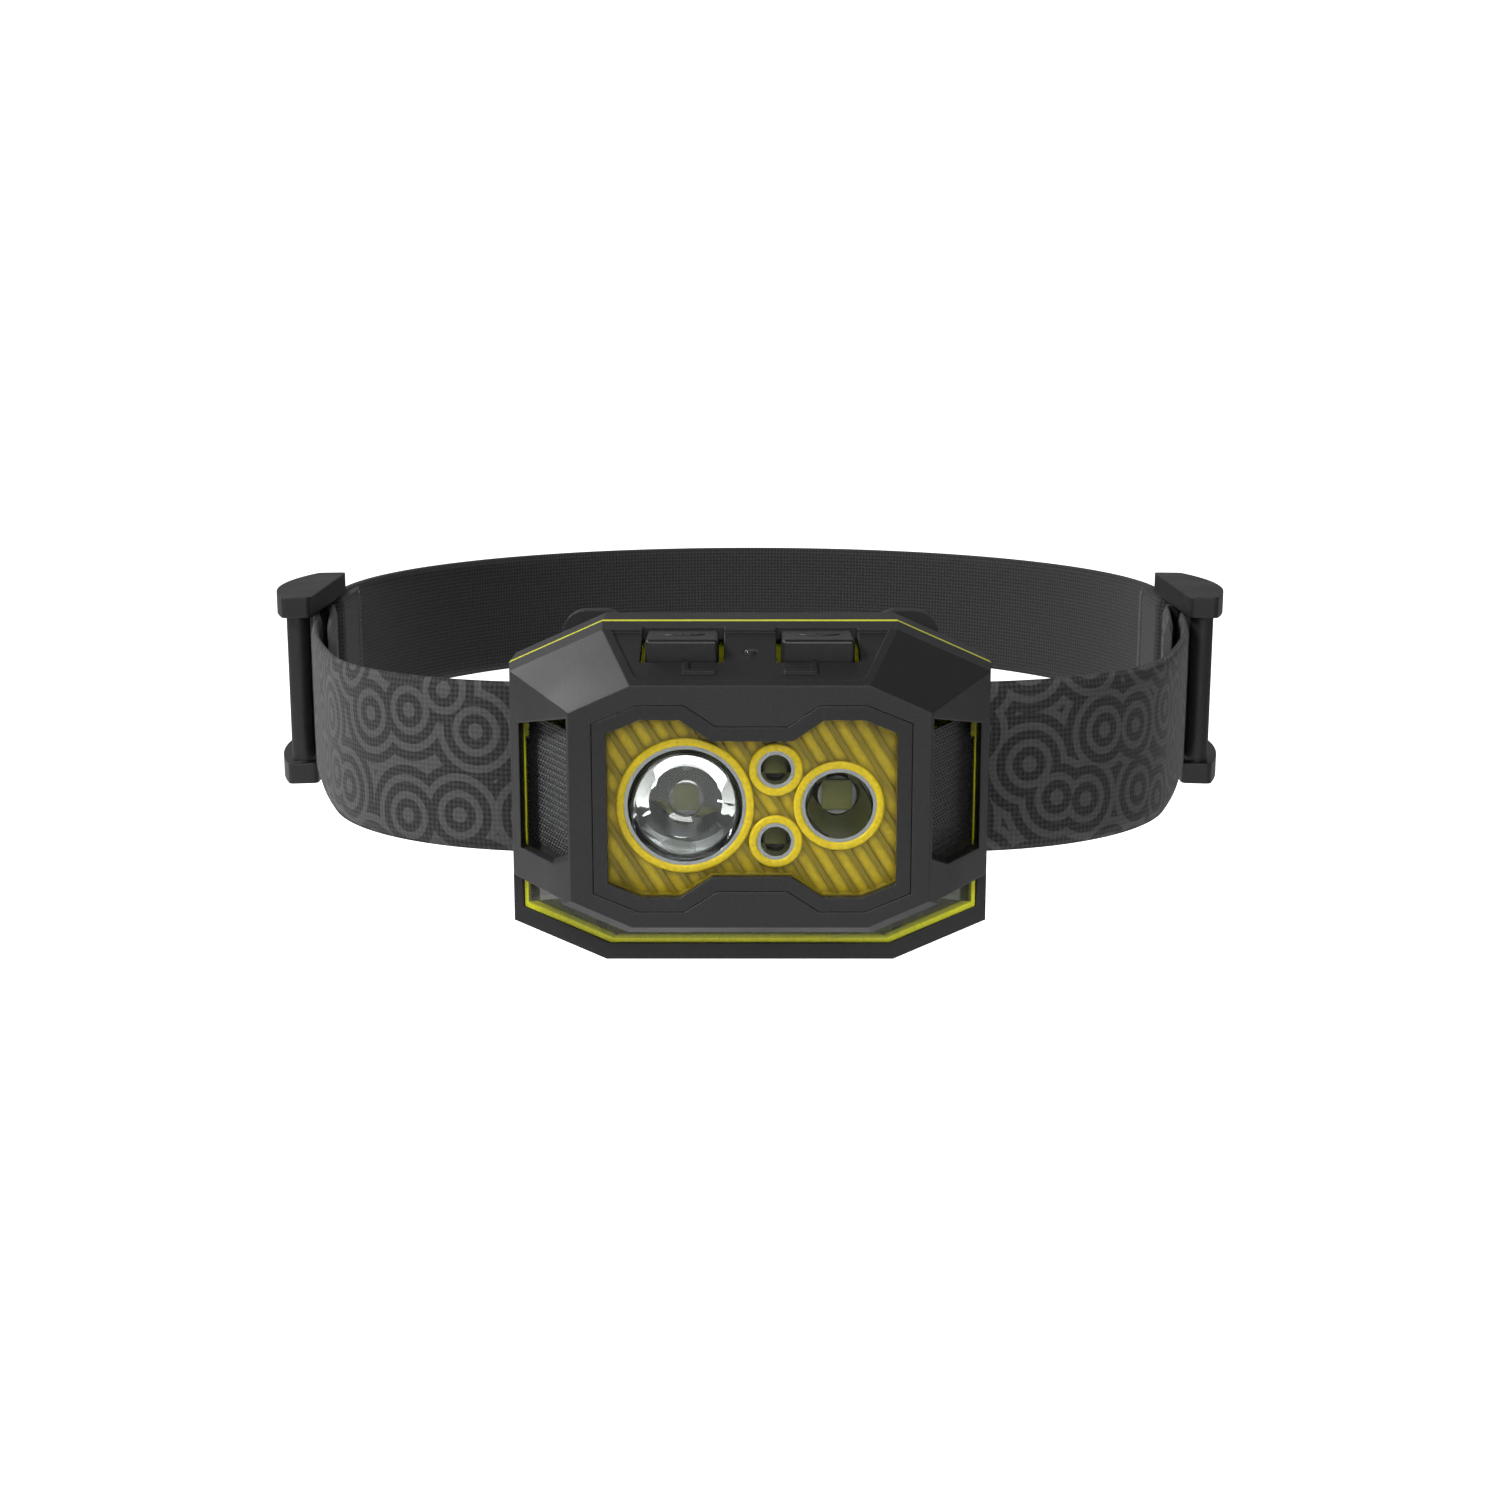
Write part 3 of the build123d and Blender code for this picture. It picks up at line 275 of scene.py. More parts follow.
def prism_plastic(name):
    """Polycarbonate prisms painted near black between them as painted shade of the dim inside,
    with a bright glint on each.
    """
    made, tree = new_material(name)
    place = add_node(tree, "ShaderNodeTexCoord").outputs["Object"]
    shade_mottle = add_node(tree, "ShaderNodeTexNoise",
                    {"Vector": place, "Scale": per_metre(0.5), "Detail": 2.0})
    # painted shade: a near black, mottled colour stands in for the dim inside seen through the
    # prisms
    paint = add_node(tree, "ShaderNodeMix",
                     {"Factor": shade_mottle.outputs["Fac"], "A": linear("#161617"),
                      "B": linear("#3a3b3c")}, data_type="RGBA")
    shader = add_node(tree, "ShaderNodeBsdfPrincipled",
                      {"Base Color": paint.outputs["Result"], "Roughness": 0.34,
                       "IOR": 1.58, "Specular IOR Level": 0.35})
    return finish_material(made, tree, shader.outputs["BSDF"])


def phosphor(name):
    """Cast silicone over a light source: powdery olive yellow with a satin skin."""
    made, tree = new_material(name)
    place = add_node(tree, "ShaderNodeTexCoord").outputs["Object"]
    powder = add_node(tree, "ShaderNodeTexNoise",
                      {"Vector": place, "Scale": per_metre(0.3), "Detail": 3.0})
    paint = add_node(tree, "ShaderNodeMix",
                     {"Factor": powder.outputs["Fac"], "A": linear("#5d5c25"),
                      "B": linear("#8a8a48")}, data_type="RGBA")
    shader = add_node(tree, "ShaderNodeBsdfPrincipled",
                      {"Base Color": paint.outputs["Result"], "Roughness": 0.45})
    return finish_material(made, tree, shader.outputs["BSDF"])


WEAVE_PITCH = 0.75          # millimetres between yarns, about twice the real spacing
RING_SPACING = 10.5         # millimetres between the centres of the woven rings
RINGS_PER_SPACING = 4.2


def woven(name, ground, motif, rings):
    """Polyester elastic: yarns cross over on the diagonals as small bumps, drawn coarser
    than real so that they show, and lighter yarn draws rings round scattered centres where
    wanted. The map is in millimetres, with the length of the strap along U."""
    made, tree = new_material(name)
    place = add_node(tree, "ShaderNodeUVMap", uv_map="Weave").outputs["UV"]
    parts = add_node(tree, "ShaderNodeSeparateXYZ", {0: place})
    waves = []
    for operation in ("ADD", "SUBTRACT"):
        diagonal = add_node(tree, "ShaderNodeMath",
                            {0: parts.outputs["X"], 1: parts.outputs["Y"]},
                            operation=operation)
        phase = add_node(tree, "ShaderNodeMath",
                         {0: diagonal.outputs[0], 1: math.pi / WEAVE_PITCH},
                         operation="MULTIPLY")
        waves.append(add_node(tree, "ShaderNodeMath", {0: phase.outputs[0]},
                              operation="SINE").outputs[0])
    weave = add_node(tree, "ShaderNodeMath", {0: waves[0], 1: waves[1]}, operation="MULTIPLY")
    fuzz = add_node(tree, "ShaderNodeTexNoise", {"Vector": place, "Scale": 2.2, "Detail": 3.0,
                                                 "Roughness": 0.7}, noise_dimensions="2D")
    level = add_node(tree, "ShaderNodeMath",
                     {0: weave.outputs[0], 1: 0.4, 2: fuzz.outputs["Fac"]},
                     operation="MULTIPLY_ADD")
    shade = add_node(tree, "ShaderNodeMapRange",
                     {"Value": level.outputs[0], "From Min": 0.2, "From Max": 0.8})
    # painted shade and highlight: the weave's low spots are darker and its crests lighter, with
    # random tone from the fuzz
    dark = add_node(tree, "ShaderNodeMix",
                    {"Factor": shade.outputs["Result"], "A": scaled(ground, 0.45),
                     "B": scaled(ground, 1.6)}, data_type="RGBA")
    result = dark.outputs["Result"]
    height = level.outputs[0]
    if rings:
        cells = add_node(tree, "ShaderNodeTexVoronoi",
                         {"Vector": place, "Scale": 1 / RING_SPACING, "Randomness": 0.75},
                         voronoi_dimensions="2D")
        beat = add_node(tree, "ShaderNodeMath",
                        {0: cells.outputs["Distance"], 1: 2 * math.pi * RINGS_PER_SPACING},
                        operation="MULTIPLY")
        ring = add_node(tree, "ShaderNodeMath", {0: beat.outputs[0]}, operation="SINE")
        drawn = add_node(tree, "ShaderNodeMapRange",
                         {"Value": ring.outputs[0], "From Min": 0.05, "From Max": 0.3})
        light = add_node(tree, "ShaderNodeMix",
                         {"Factor": shade.outputs["Result"], "A": scaled(motif, 0.8),
                          "B": scaled(motif, 1.15)}, data_type="RGBA")
        both = add_node(tree, "ShaderNodeMix",
                        {"Factor": drawn.outputs["Result"], "A": dark.outputs["Result"],
                         "B": light.outputs["Result"]}, data_type="RGBA")
        result = both.outputs["Result"]
        raised = add_node(tree, "ShaderNodeMath",
                          {0: drawn.outputs["Result"], 1: 0.35, 2: level.outputs[0]},
                          operation="MULTIPLY_ADD")
        height = raised.outputs[0]
    bump = add_node(tree, "ShaderNodeBump", {"Height": height, "Distance": 0.08 * MM,
                                             "Strength": 0.8})
    shader = add_node(tree, "ShaderNodeBsdfPrincipled",
                      {"Base Color": result, "Roughness": 0.86, "Sheen Weight": 0.12,
                       "Sheen Roughness": 0.5, "Specular IOR Level": 0.25,
                       "Normal": bump.outputs["Normal"]})
    return finish_material(made, tree, shader.outputs["BSDF"])


# ---- mesh helpers ----------------------------------------------------------------------


def grid_mesh(name, points, close_u=False, close_v=False, weave=None):
    """Mesh of a grid of points indexed [u, v]. weave is an optional [u, v] grid of map
    coordinates in millimetres, one row and column longer where the grid closes."""
    rows, columns = points.shape[:2]
    mesh = bpy.data.meshes.new(name)
    u_count = rows if close_u else rows - 1
    v_count = columns if close_v else columns - 1
    u, v = np.meshgrid(np.arange(u_count), np.arange(v_count), indexing="ij")
    u2, v2 = (u + 1) % rows, (v + 1) % columns
    quads = np.stack([u * columns + v, u2 * columns + v, u2 * columns + v2,
                      u * columns + v2], axis=-1).reshape(-1, 4)
    flat = points.reshape(-1, 3).astype(np.float64)
    mesh.from_pydata(flat.tolist(), [], quads.tolist())
    if weave is not None:
        layer = mesh.uv_layers.new(name="Weave")
        corners = np.stack([weave[u, v], weave[u + 1, v], weave[u + 1, v + 1],
                            weave[u, v + 1]], axis=-2).reshape(-1, 2)
        layer.data.foreach_set("uv", corners.astype(np.float32).ravel())
    mesh.polygons.foreach_set("use_smooth", [True] * len(mesh.polygons))
    mesh.update()
    return mesh


def points_of(mesh):
    """The vertices of a mesh as an array of rows."""
    held = np.zeros(len(mesh.vertices) * 3)
    mesh.vertices.foreach_get("co", held)
    return held.reshape(-1, 3)


def solid_mesh(name, points, faces, smooth=False):
    """A closed mesh of points and faces, turned outwards."""
    made = bpy.data.meshes.new(name)
    made.from_pydata(points.tolist(), [], faces)
    made.polygons.foreach_set("use_smooth", [smooth] * len(faces))
    made.update()
    return turn_outwards(made)


def quads_of(rows, columns, close_v=False):
    """Quads of a grid of points counted along its rows, closed across them if wanted."""
    i, j = np.meshgrid(np.arange(rows - 1), np.arange(columns - (not close_v)),
                       indexing="ij")
    j2 = (j + 1) % columns
    return np.stack([i * columns + j, (i + 1) * columns + j, (i + 1) * columns + j2,
                     i * columns + j2], axis=-1).reshape(-1, 4)


def turn_outwards(mesh):
    """Coincident points merged, then the faces of the closed mesh turned outwards."""
    work = bmesh.new()
    work.from_mesh(mesh)
    bmesh.ops.remove_doubles(work, verts=work.verts, dist=1e-6)
    bmesh.ops.recalc_face_normals(work, faces=work.faces)
    work.to_mesh(mesh)
    work.free()
    return mesh


def add_piece(name, mesh, body, material, replaces=()):
    """A piece at the origin that rides on a body."""
    made = bpy.data.objects.new(name, mesh)
    bpy.context.scene.collection.objects.link(made)
    made.data.materials.append(material)
    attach(made, body)
    if replaces:
        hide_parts(*replaces)
    return made


def join_meshes(name, meshes):
    """One mesh that holds the vertices and faces of several."""
    points, faces, start = [], [], 0
    for mesh in meshes:
        points.append(points_of(mesh))
        faces += [[start + i for i in p.vertices] for p in mesh.polygons]
        start += len(mesh.vertices)
    smooth = [p.use_smooth for mesh in meshes for p in mesh.polygons]
    made = bpy.data.meshes.new(name)
    made.from_pydata(np.vstack(points).tolist(), [], faces)
    made.polygons.foreach_set("use_smooth", smooth)
    made.update()
    return made


def turned_points(profile, centre, segments=96):
    """Closed profile of (radius, y) points turned about an axis along Y through centre."""
    profile = np.asarray(profile, float)
    angle = np.linspace(0, 2 * np.pi, segments, endpoint=False)
    radius, along = profile[:, 0], profile[:, 1]
    points = np.zeros((segments, len(profile), 3))
    points[..., 0] = centre[0] + np.outer(np.cos(angle), radius)
    points[..., 1] = along[None, :]
    points[..., 2] = centre[1] + np.outer(np.sin(angle), radius)
    return points


def tube_points(path, radius, sides):
    """Rings of a round tube carried along a path, each square to the local direction."""
    path = np.asarray(path, float)
    ahead = np.roll(path, -1, axis=0)
    behind = np.roll(path, 1, axis=0)
    ahead[-1], behind[0] = path[-1], path[0]
    direction = ahead - behind
    direction /= np.linalg.norm(direction, axis=1)[:, None]
    reference = np.where(np.abs(direction[:, 2:3]) > 0.9, [[1.0, 0, 0]], [[0, 0, 1.0]])
    side = np.cross(direction, reference)
    side /= np.linalg.norm(side, axis=1)[:, None]
    up = np.cross(side, direction)
    angle = np.linspace(0, 2 * np.pi, sides, endpoint=False)
    ring = (np.cos(angle)[None, :, None] * side[:, None, :]
            + np.sin(angle)[None, :, None] * up[:, None, :]) * radius
    return path[:, None, :] + ring


# ---- the lamp's own measures ----------------------------------------------------------

# centre x, centre z and mouth radius of each light source, millimetres
SOURCES = ((-8.3, 2.25, 8.0), (11.4, 2.25, 5.0), (3.3, 6.95, 2.6), (3.3, -2.45, 2.6))
RING_INSET = 0.2            # yellow ring reaches this far inside the mouth of its cup
RING_OVERLAP = 0.85         # and this far outside it
SEAT = 0.02                 # sunk into what it lies on, so that no gap shows
LIP_OUTER = (32.35, -23.25, 12.58)      # half width, bottom and corner run of the lip
LIP_INNER = (31.05, -20.95, 11.85)
LIP_TOP = -10.9
LIP_PROUD = 0.3
WINDOW_BACK = (30.4, -127.6)            # x and y of the window's slope, back and front
WINDOW_FRONT = (22.0, -144.6)
WINDOW_START = 0.10         # share of the slope that the prisms leave bare at the back
WINDOW_SHARE = 0.82         # and share that they cover
PRISM_BOTTOM = -5.6
PRISM_RISE = 17.2
PRISM_BASE = 0.05           # base of the prisms in front of the diffuser
PRISM_INSET = 0.3
PRISM_PROUD = 0.28
RIM_FRONT = -127.6          # where the chassis meets the front shell
CORNER_SLOPE = 0.445        # fall of the corner facets across their run

# ---- the strap's path ------------------------------------------------------------------

CAD_STRAP_THICK = 1.4 * MM
SHOULDER_TURN = math.radians(70)
BAR_THICK = 2.6 * MM
BAR_FLAT = 1.4 * MM
BAR_GAP = 0.15 * MM
LAYER_SHIFT = 2.1 * MM
LAYER_RUN = 7.5 * MM
REAR_SHIFT = 2.0 * MM
REAR_RUN = 10.0 * MM
TAIL = 26.0 * MM
REAR_TAIL = 17.0 * MM
CLIMB_Y = -33.4 * MM
REAR_BAR_Y = -11.6 * MM
WRAP = BAR_THICK / 2 + BAR_GAP + CAD_STRAP_THICK / 2


def climb(shift, run):
    """Two opposite arcs that move a path sideways by shift over a run."""
    turn = 2 * math.atan(shift / run)
    length = run / (2 * math.sin(abs(turn))) * abs(turn)
    return [(length, turn), (length, -turn)]


def walk(start, heading, runs, step=0.0012):
    """Points and left hand normals along runs of (length, turn): a straight run keeps its
    heading, and a turned one follows a circle of radius length over turn."""
    x, y = start
    points, headings = [(x, y)], [heading]
    for length, turn in runs:
        count = max(2, int(round(length / step)))
        share = np.arange(1, count + 1) / count
        swept = heading + share * turn
        if abs(turn) < 1e-9:
            px = x + share * length * math.cos(heading)
            py = y + share * length * math.sin(heading)
        else:
            radius = length / turn
            px = x + radius * (np.sin(swept) - math.sin(heading))
            py = y - radius * (np.cos(swept) - math.cos(heading))
        points += list(zip(px, py))
        headings += list(swept)
        x, y, heading = px[-1], py[-1], swept[-1]
    return np.array(points), np.array(headings)


def mirrored_path(points, headings):
    """The whole path: the half walked from the middle plane, and its mirror image."""
    left = points[:0:-1] * (-1, 1)
    all_points = np.vstack([left, points])
    turned = np.concatenate([-headings[:0:-1], headings])
    return all_points, turned


def front_path():
    """Plan of the front elastic: flat behind the lamp, a tight arc, a long one to the
    temple, a climb onto the bar, round it, and back inside itself."""
    forehead = -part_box("strap_front")[0].y - CAD_STRAP_THICK / 2
    half_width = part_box("strap_rear")[1].y - CAD_STRAP_THICK / 2
    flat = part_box("bracket")[1].x + 1.5 * MM
    side = half_width - flat
    spread = math.sin(SHOULDER_TURN) + math.cos(SHOULDER_TURN) - 1
    tight = (side * math.cos(SHOULDER_TURN)
             - forehead * (1 - math.sin(SHOULDER_TURN))) / spread
    long = (forehead * math.sin(SHOULDER_TURN)
            - side * (1 - math.cos(SHOULDER_TURN))) / spread
    temple = math.pi / 2 + math.atan(CLIMB_Y / long) - SHOULDER_TURN
    runs = [(flat, 0.0), (tight * SHOULDER_TURN, SHOULDER_TURN), (long * temple, temple)]
    runs += climb(-LAYER_SHIFT, LAYER_RUN)
    runs += [(BAR_FLAT, 0.0), (WRAP * math.pi, math.pi), (BAR_FLAT, 0.0),
             (TAIL, -TAIL / long)]
    return mirrored_path(*walk((0, -forehead), 0.0, runs))


def rear_path():
    """Plan of the rear elastic: half a circle, a climb, round its bar, and back."""
    half_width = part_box("strap_rear")[1].y - CAD_STRAP_THICK / 2
    runs = [(half_width * math.pi / 2, -math.pi / 2)] + climb(REAR_SHIFT, REAR_RUN)
    flat = -REAR_BAR_Y - REAR_RUN + BAR_FLAT / 2
    runs += [(flat, 0.0), (WRAP * math.pi, -math.pi), (REAR_TAIL, 0.0)]
    return mirrored_path(*walk((0, half_width), 0.0, runs))


def strap_mesh(name, path, headings, width, thick, flip):
    """Band: a flat section with round selvedges, carried along a plan path. Across the
    width the face lies at half the thickness, with a slightly thicker edge cord."""
    sides = 15
    across = np.linspace(-0.5, 0.5, sides)
    bead = 1 + 0.10 * np.exp(-((np.abs(across) - 0.46) / 0.02) ** 2)
    outside = np.clip((np.abs(across) - 0.477) / 0.023, 0, 1)
    round_off = np.sqrt(1 - outside ** 2)
    half = thick / 2 * bead * np.maximum(round_off, 0.25)
    ring_height = np.concatenate([across, across[::-1]]) * width
    ring_out = np.concatenate([half, -half[::-1]]) * (-1 if flip else 1)
    normal = np.stack([np.sin(headings), -np.cos(headings)], axis=1)
    points = np.zeros((len(path), 2 * sides, 3))
    points[..., 0] = path[:, 0:1] + normal[:, 0:1] * ring_out[None, :]
    points[..., 1] = path[:, 1:2] + normal[:, 1:2] * ring_out[None, :]
    points[..., 2] = ring_height[None, :]
    steps = np.linalg.norm(np.diff(path, axis=0), axis=1)
    travelled = np.concatenate([[0], np.cumsum(steps)])
    weave = np.zeros((len(path), 2 * sides + 1, 2))
    weave[..., 0] = travelled[:, None] / MM
    around = np.concatenate([across, across[::-1] + 2.0, [across[0] + 3.0]]) * width / MM
    weave[..., 1] = around[None, :]
    mesh = grid_mesh(name, points, close_v=True, weave=weave)
    # close the two cut ends with a strip of quads
    count = 2 * sides
    last = (len(path) - 1) * count
    ends = []
    for base, order in ((0, 1), (last, -1)):
        for i in range(sides - 1):
            quad = [base + i, base + i + 1, base + count - 2 - i, base + count - 1 - i]
            ends.append(quad[::order])
    return turn_outwards(close_ends(mesh, ends)), travelled[-1]


def close_ends(mesh, ends):
    """The same mesh with a few faces more; its map is kept."""
    faces = [list(p.vertices) for p in mesh.polygons] + ends
    uv = np.zeros(len(mesh.loops) * 2)
    mesh.uv_layers["Weave"].data.foreach_get("uv", uv)
    made = bpy.data.meshes.new(mesh.name + "_closed")
    made.from_pydata(points_of(mesh).tolist(), [], faces)
    layer = made.uv_layers.new(name="Weave")
    full = np.zeros(len(made.loops) * 2)
    full[:len(uv)] = uv
    layer.data.foreach_set("uv", full)
    smooth = [True] * (len(faces) - len(ends)) + [False] * len(ends)
    made.polygons.foreach_set("use_smooth", smooth)
    made.update()
    return made


# ---- operators -------------------------------------------------------------------------


def give_finish(node, material):
    """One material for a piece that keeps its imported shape."""
    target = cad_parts[node]
    target.data.materials.clear()
    target.data.materials.append(material)


def sizes():
    """The sizes set in the scene."""
    return bpy.context.scene.headlamp_sizes


def colours():
    """The colours set in the scene."""
    return bpy.context.scene.headlamp_colours


# the stage, metres
FLOOR_Z = -0.16
FLOOR_REACH = 3.0           # floor in front and to each side
FLOOR_DEPTH = 1.6           # floor behind, before it bends up
BEND_RADIUS = 1.2
WALL_HEIGHT = 3.0
SEEN_WHITE = 1.3            # brightness of the stage as seen
LENT_WHITE = 0.07           # and as light that falls on the lamp
WHITE = (1, 1, 1, 1)
CAMERA_PLACE = (0, -0.4043, 0.0616)
CAMERA_PITCH = math.radians(11.34)


class HEADLAMP_OT_stage(bpy.types.Operator):
    """Floor, light and camera"""
    bl_idname = "headlamp.stage"
    bl_label = "Stage"

    def execute(self, context):
        scene = context.scene
        scene.view_settings.view_transform = "Standard"
        scene.view_settings.look = "None"
        # floor that sweeps up into a wall behind: a quarter circle between two planes
        bend = np.linspace(0, math.pi / 2, 24)
        run = np.concatenate([[-FLOOR_REACH], FLOOR_DEPTH + BEND_RADIUS * np.sin(bend),
                              [FLOOR_DEPTH + BEND_RADIUS]])
        rise = FLOOR_Z + np.concatenate([[0], BEND_RADIUS * (1 - np.cos(bend)),
                                         [WALL_HEIGHT]])
        points = np.zeros((2, len(run), 3))
        points[0, :, 0], points[1, :, 0] = -FLOOR_REACH, FLOOR_REACH
        points[..., 1], points[..., 2] = run[None, :], rise[None, :]
        mesh = grid_mesh("backdrop", points)
        made, tree = new_material("matt_white_paper")
        # paper lit from behind as well: one even white, with little light lent to the lamp
        paper = add_node(tree, "ShaderNodeBsdfDiffuse", {"Color": (0.9, 0.9, 0.9, 1)})
        glow = add_node(tree, "ShaderNodeEmission", {"Color": WHITE, "Strength": SEEN_WHITE})
        path = add_node(tree, "ShaderNodeLightPath")
        dim = add_node(tree, "ShaderNodeEmission", {"Color": WHITE, "Strength": LENT_WHITE})
        seen = add_node(tree, "ShaderNodeMixShader",
                        {"Fac": path.outputs["Is Camera Ray"], 1: dim.outputs[0],
                         2: glow.outputs[0]})
        both = add_node(tree, "ShaderNodeAddShader", {0: paper.outputs[0], 1: seen.outputs[0]})
        finish_material(made, tree, both.outputs[0])
        backdrop = bpy.data.objects.new("backdrop", mesh)
        scene.collection.objects.link(backdrop)
        mesh.materials.append(made)

        world = bpy.data.worlds.new("studio")
        world.use_nodes = True
        room = world.node_tree
        room.nodes.clear()
        ray = add_node(room, "ShaderNodeLightPath")
        faint = add_node(room, "ShaderNodeBackground",
                         {"Color": WHITE, "Strength": LENT_WHITE})
        pale = add_node(room, "ShaderNodeBackground",
                        {"Color": WHITE, "Strength": SEEN_WHITE})
        chosen = add_node(room, "ShaderNodeMixShader",
                          {"Fac": ray.outputs["Is Camera Ray"], 1: faint.outputs[0],
                           2: pale.outputs[0]})
        add_node(room, "ShaderNodeOutputWorld", {"Surface": chosen.outputs[0]})
        scene.world = world
        lamps = (
            # name, place, target, size, watts
            ("key_left", (-0.62, -0.45, 0.70), (0, -0.12, 0), (0.3, 0.3), 8.0),
            ("fill_front", (0.1, -1.2, 0.55), (0, -0.1, 0), (0.5, 0.4), 5.0),
            ("rim_left", (-0.58, 0.42, 0.60), (-0.02, -0.14, 0), (0.22, 0.22), 2.0),
        )
        for name, place, target, size, watts in lamps:
            light = bpy.data.lights.new(name, "AREA")
            light.shape = "RECTANGLE"
            light.size, light.size_y = size
            light.energy = watts
            holder = bpy.data.objects.new(name, light)
            scene.collection.objects.link(holder)
            aim = Vector(target) - Vector(place)
            holder.matrix_world = (Matrix.Translation(place)
                                   @ aim.to_track_quat("-Z", "Y").to_matrix().to_4x4())
        camera = bpy.data.cameras.new("camera")
        camera.lens, camera.sensor_width = 50.0, 36.0
        camera.clip_start = 0.01
        holder = bpy.data.objects.new("camera", camera)
        holder.location = CAMERA_PLACE
        holder.rotation_euler = (math.pi / 2 - CAMERA_PITCH, 0, 0)
        scene.collection.objects.link(holder)
        scene.camera = holder
        return {"FINISHED"}


class HEADLAMP_OT_finishes(bpy.types.Operator):
    """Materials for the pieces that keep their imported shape"""
    bl_idname = "headlamp.finishes"
    bl_label = "Finishes"

    def execute(self, context):
        c = colours()
        shell = tuple(c.shell)
        kinds = {
            # acrylonitrile blend from a spark eroded mould: fine grey grain, satin
            "moulded_abs_black": moulded("moulded_abs_black", shell),
            "moulded_abs_housing": moulded("moulded_abs_housing", scaled(shell, 0.92),
                                           rough=0.5),
            # acetal: smoother and a little waxy
            "moulded_acetal_black": moulded("moulded_acetal_black", scaled(shell, 0.85),
                                            grain=0.5, depth=0.006, rough=0.4, edge=0.4),
            "moulded_silicone_black": moulded("moulded_silicone_black", scaled(shell, 0.8),
                                              grain=0.5, depth=0.004, rough=0.62, edge=0.25),
            "moulded_bezel_black": moulded("moulded_bezel_black", scaled(shell, 0.8),
                                           grain=0.6, depth=0.004, rough=0.34, edge=0.18),
            # the same with yellow pigment, from a coarser mould: sparkling grain
            "moulded_abs_yellow": moulded("moulded_abs_yellow", tuple(c.plate), grain=0.45,
                                          depth=0.05, rough=0.42, edge=0.12, spread=0.1,
                                          grooves=0.9),
            "anodised_lime": moulded("anodised_lime", tuple(c.trim), grain=0.3, depth=0.01,
                                     rough=0.35, edge=0.15, spread=0.06),
            "clear_window": clear("clear_window", (0.98, 0.99, 0.98, 1), 0.12),
            # the diffuser's grey tint is painted shade: it dims what lies behind the side
            # windows
            "clear_diffuser": clear("clear_diffuser", (0.5, 0.52, 0.52, 1), 1.0, 0.1, 0.06),
            "silicon_phosphor": phosphor("silicon_phosphor"),
            "blackened_steel": metal("blackened_steel", linear("#5a5a5c"), 0.32),
            "drawn_steel": metal("drawn_steel", linear("#b9bbbd"), 0.22, 1.0),
            "foil_pouch": metal("foil_pouch", linear("#9a9c9f"), 0.36),
            "solder_mask_green": moulded("solder_mask_green", linear("#11401f"), grain=1.2,
                                         rough=0.3, edge=0.1),
            "solder_mask_white": moulded("solder_mask_white", linear("#b9b9b4"), grain=1.2,
                                         rough=0.35, edge=0.1),
        }
        uses = {
            "front_shell": "moulded_abs_black", "rear_housing": "moulded_abs_housing",
            "bracket": "moulded_abs_housing", "left_buckle": "moulded_acetal_black",
            "right_buckle": "moulded_acetal_black", "bezel_ring": "moulded_bezel_black",
            "left_button": "moulded_bezel_black", "right_button": "moulded_bezel_black",
            "usb_cover": "moulded_silicone_black", "housing_gasket": "moulded_silicone_black",
            "window_seal": "moulded_silicone_black", "chassis_ring": "anodised_lime",
            "reflector_plate": "moulded_abs_yellow", "front_window": "clear_window",
            "side_diffuser": "clear_diffuser", "charge_light": "clear_diffuser",
            "flood_led": "silicon_phosphor", "red_leds": "silicon_phosphor",
            "spot_led": "silicon_phosphor", "pivot_pin": "drawn_steel",
            "housing_screws": "blackened_steel", "usb_port": "drawn_steel",
            "press_switches": "blackened_steel", "battery": "foil_pouch",
            "main_board": "solder_mask_green", "switch_board": "solder_mask_green",
            "led_board": "solder_mask_white", "side_light_boards": "solder_mask_white",
        }
        for node, kind in uses.items():
            give_finish(node, kinds[kind])
        return {"FINISHED"}


class HEADLAMP_OT_straps(bpy.types.Operator):
    """Front and rear elastic"""
    bl_idname = "headlamp.straps"
    bl_label = "Straps"

    def execute(self, context):
        s, c = sizes(), colours()
        patterned = woven("woven_elastic_rings", tuple(c.strap), tuple(c.motif), True)
        plain = woven("woven_elastic_plain", scaled(tuple(c.strap), 0.8), tuple(c.motif), False)
        plans = (("front_strap", front_path(), False, patterned, "strap_front"),
                 ("rear_strap", rear_path(), True, plain, "strap_rear"))
        for name, (path, headings), flip, material, node in plans:
            mesh, length = strap_mesh(name, path, headings, s.strap_width, s.strap_thick, flip)
            piece = add_piece(name, mesh, "headband", material, [node])
        return {"FINISHED"}


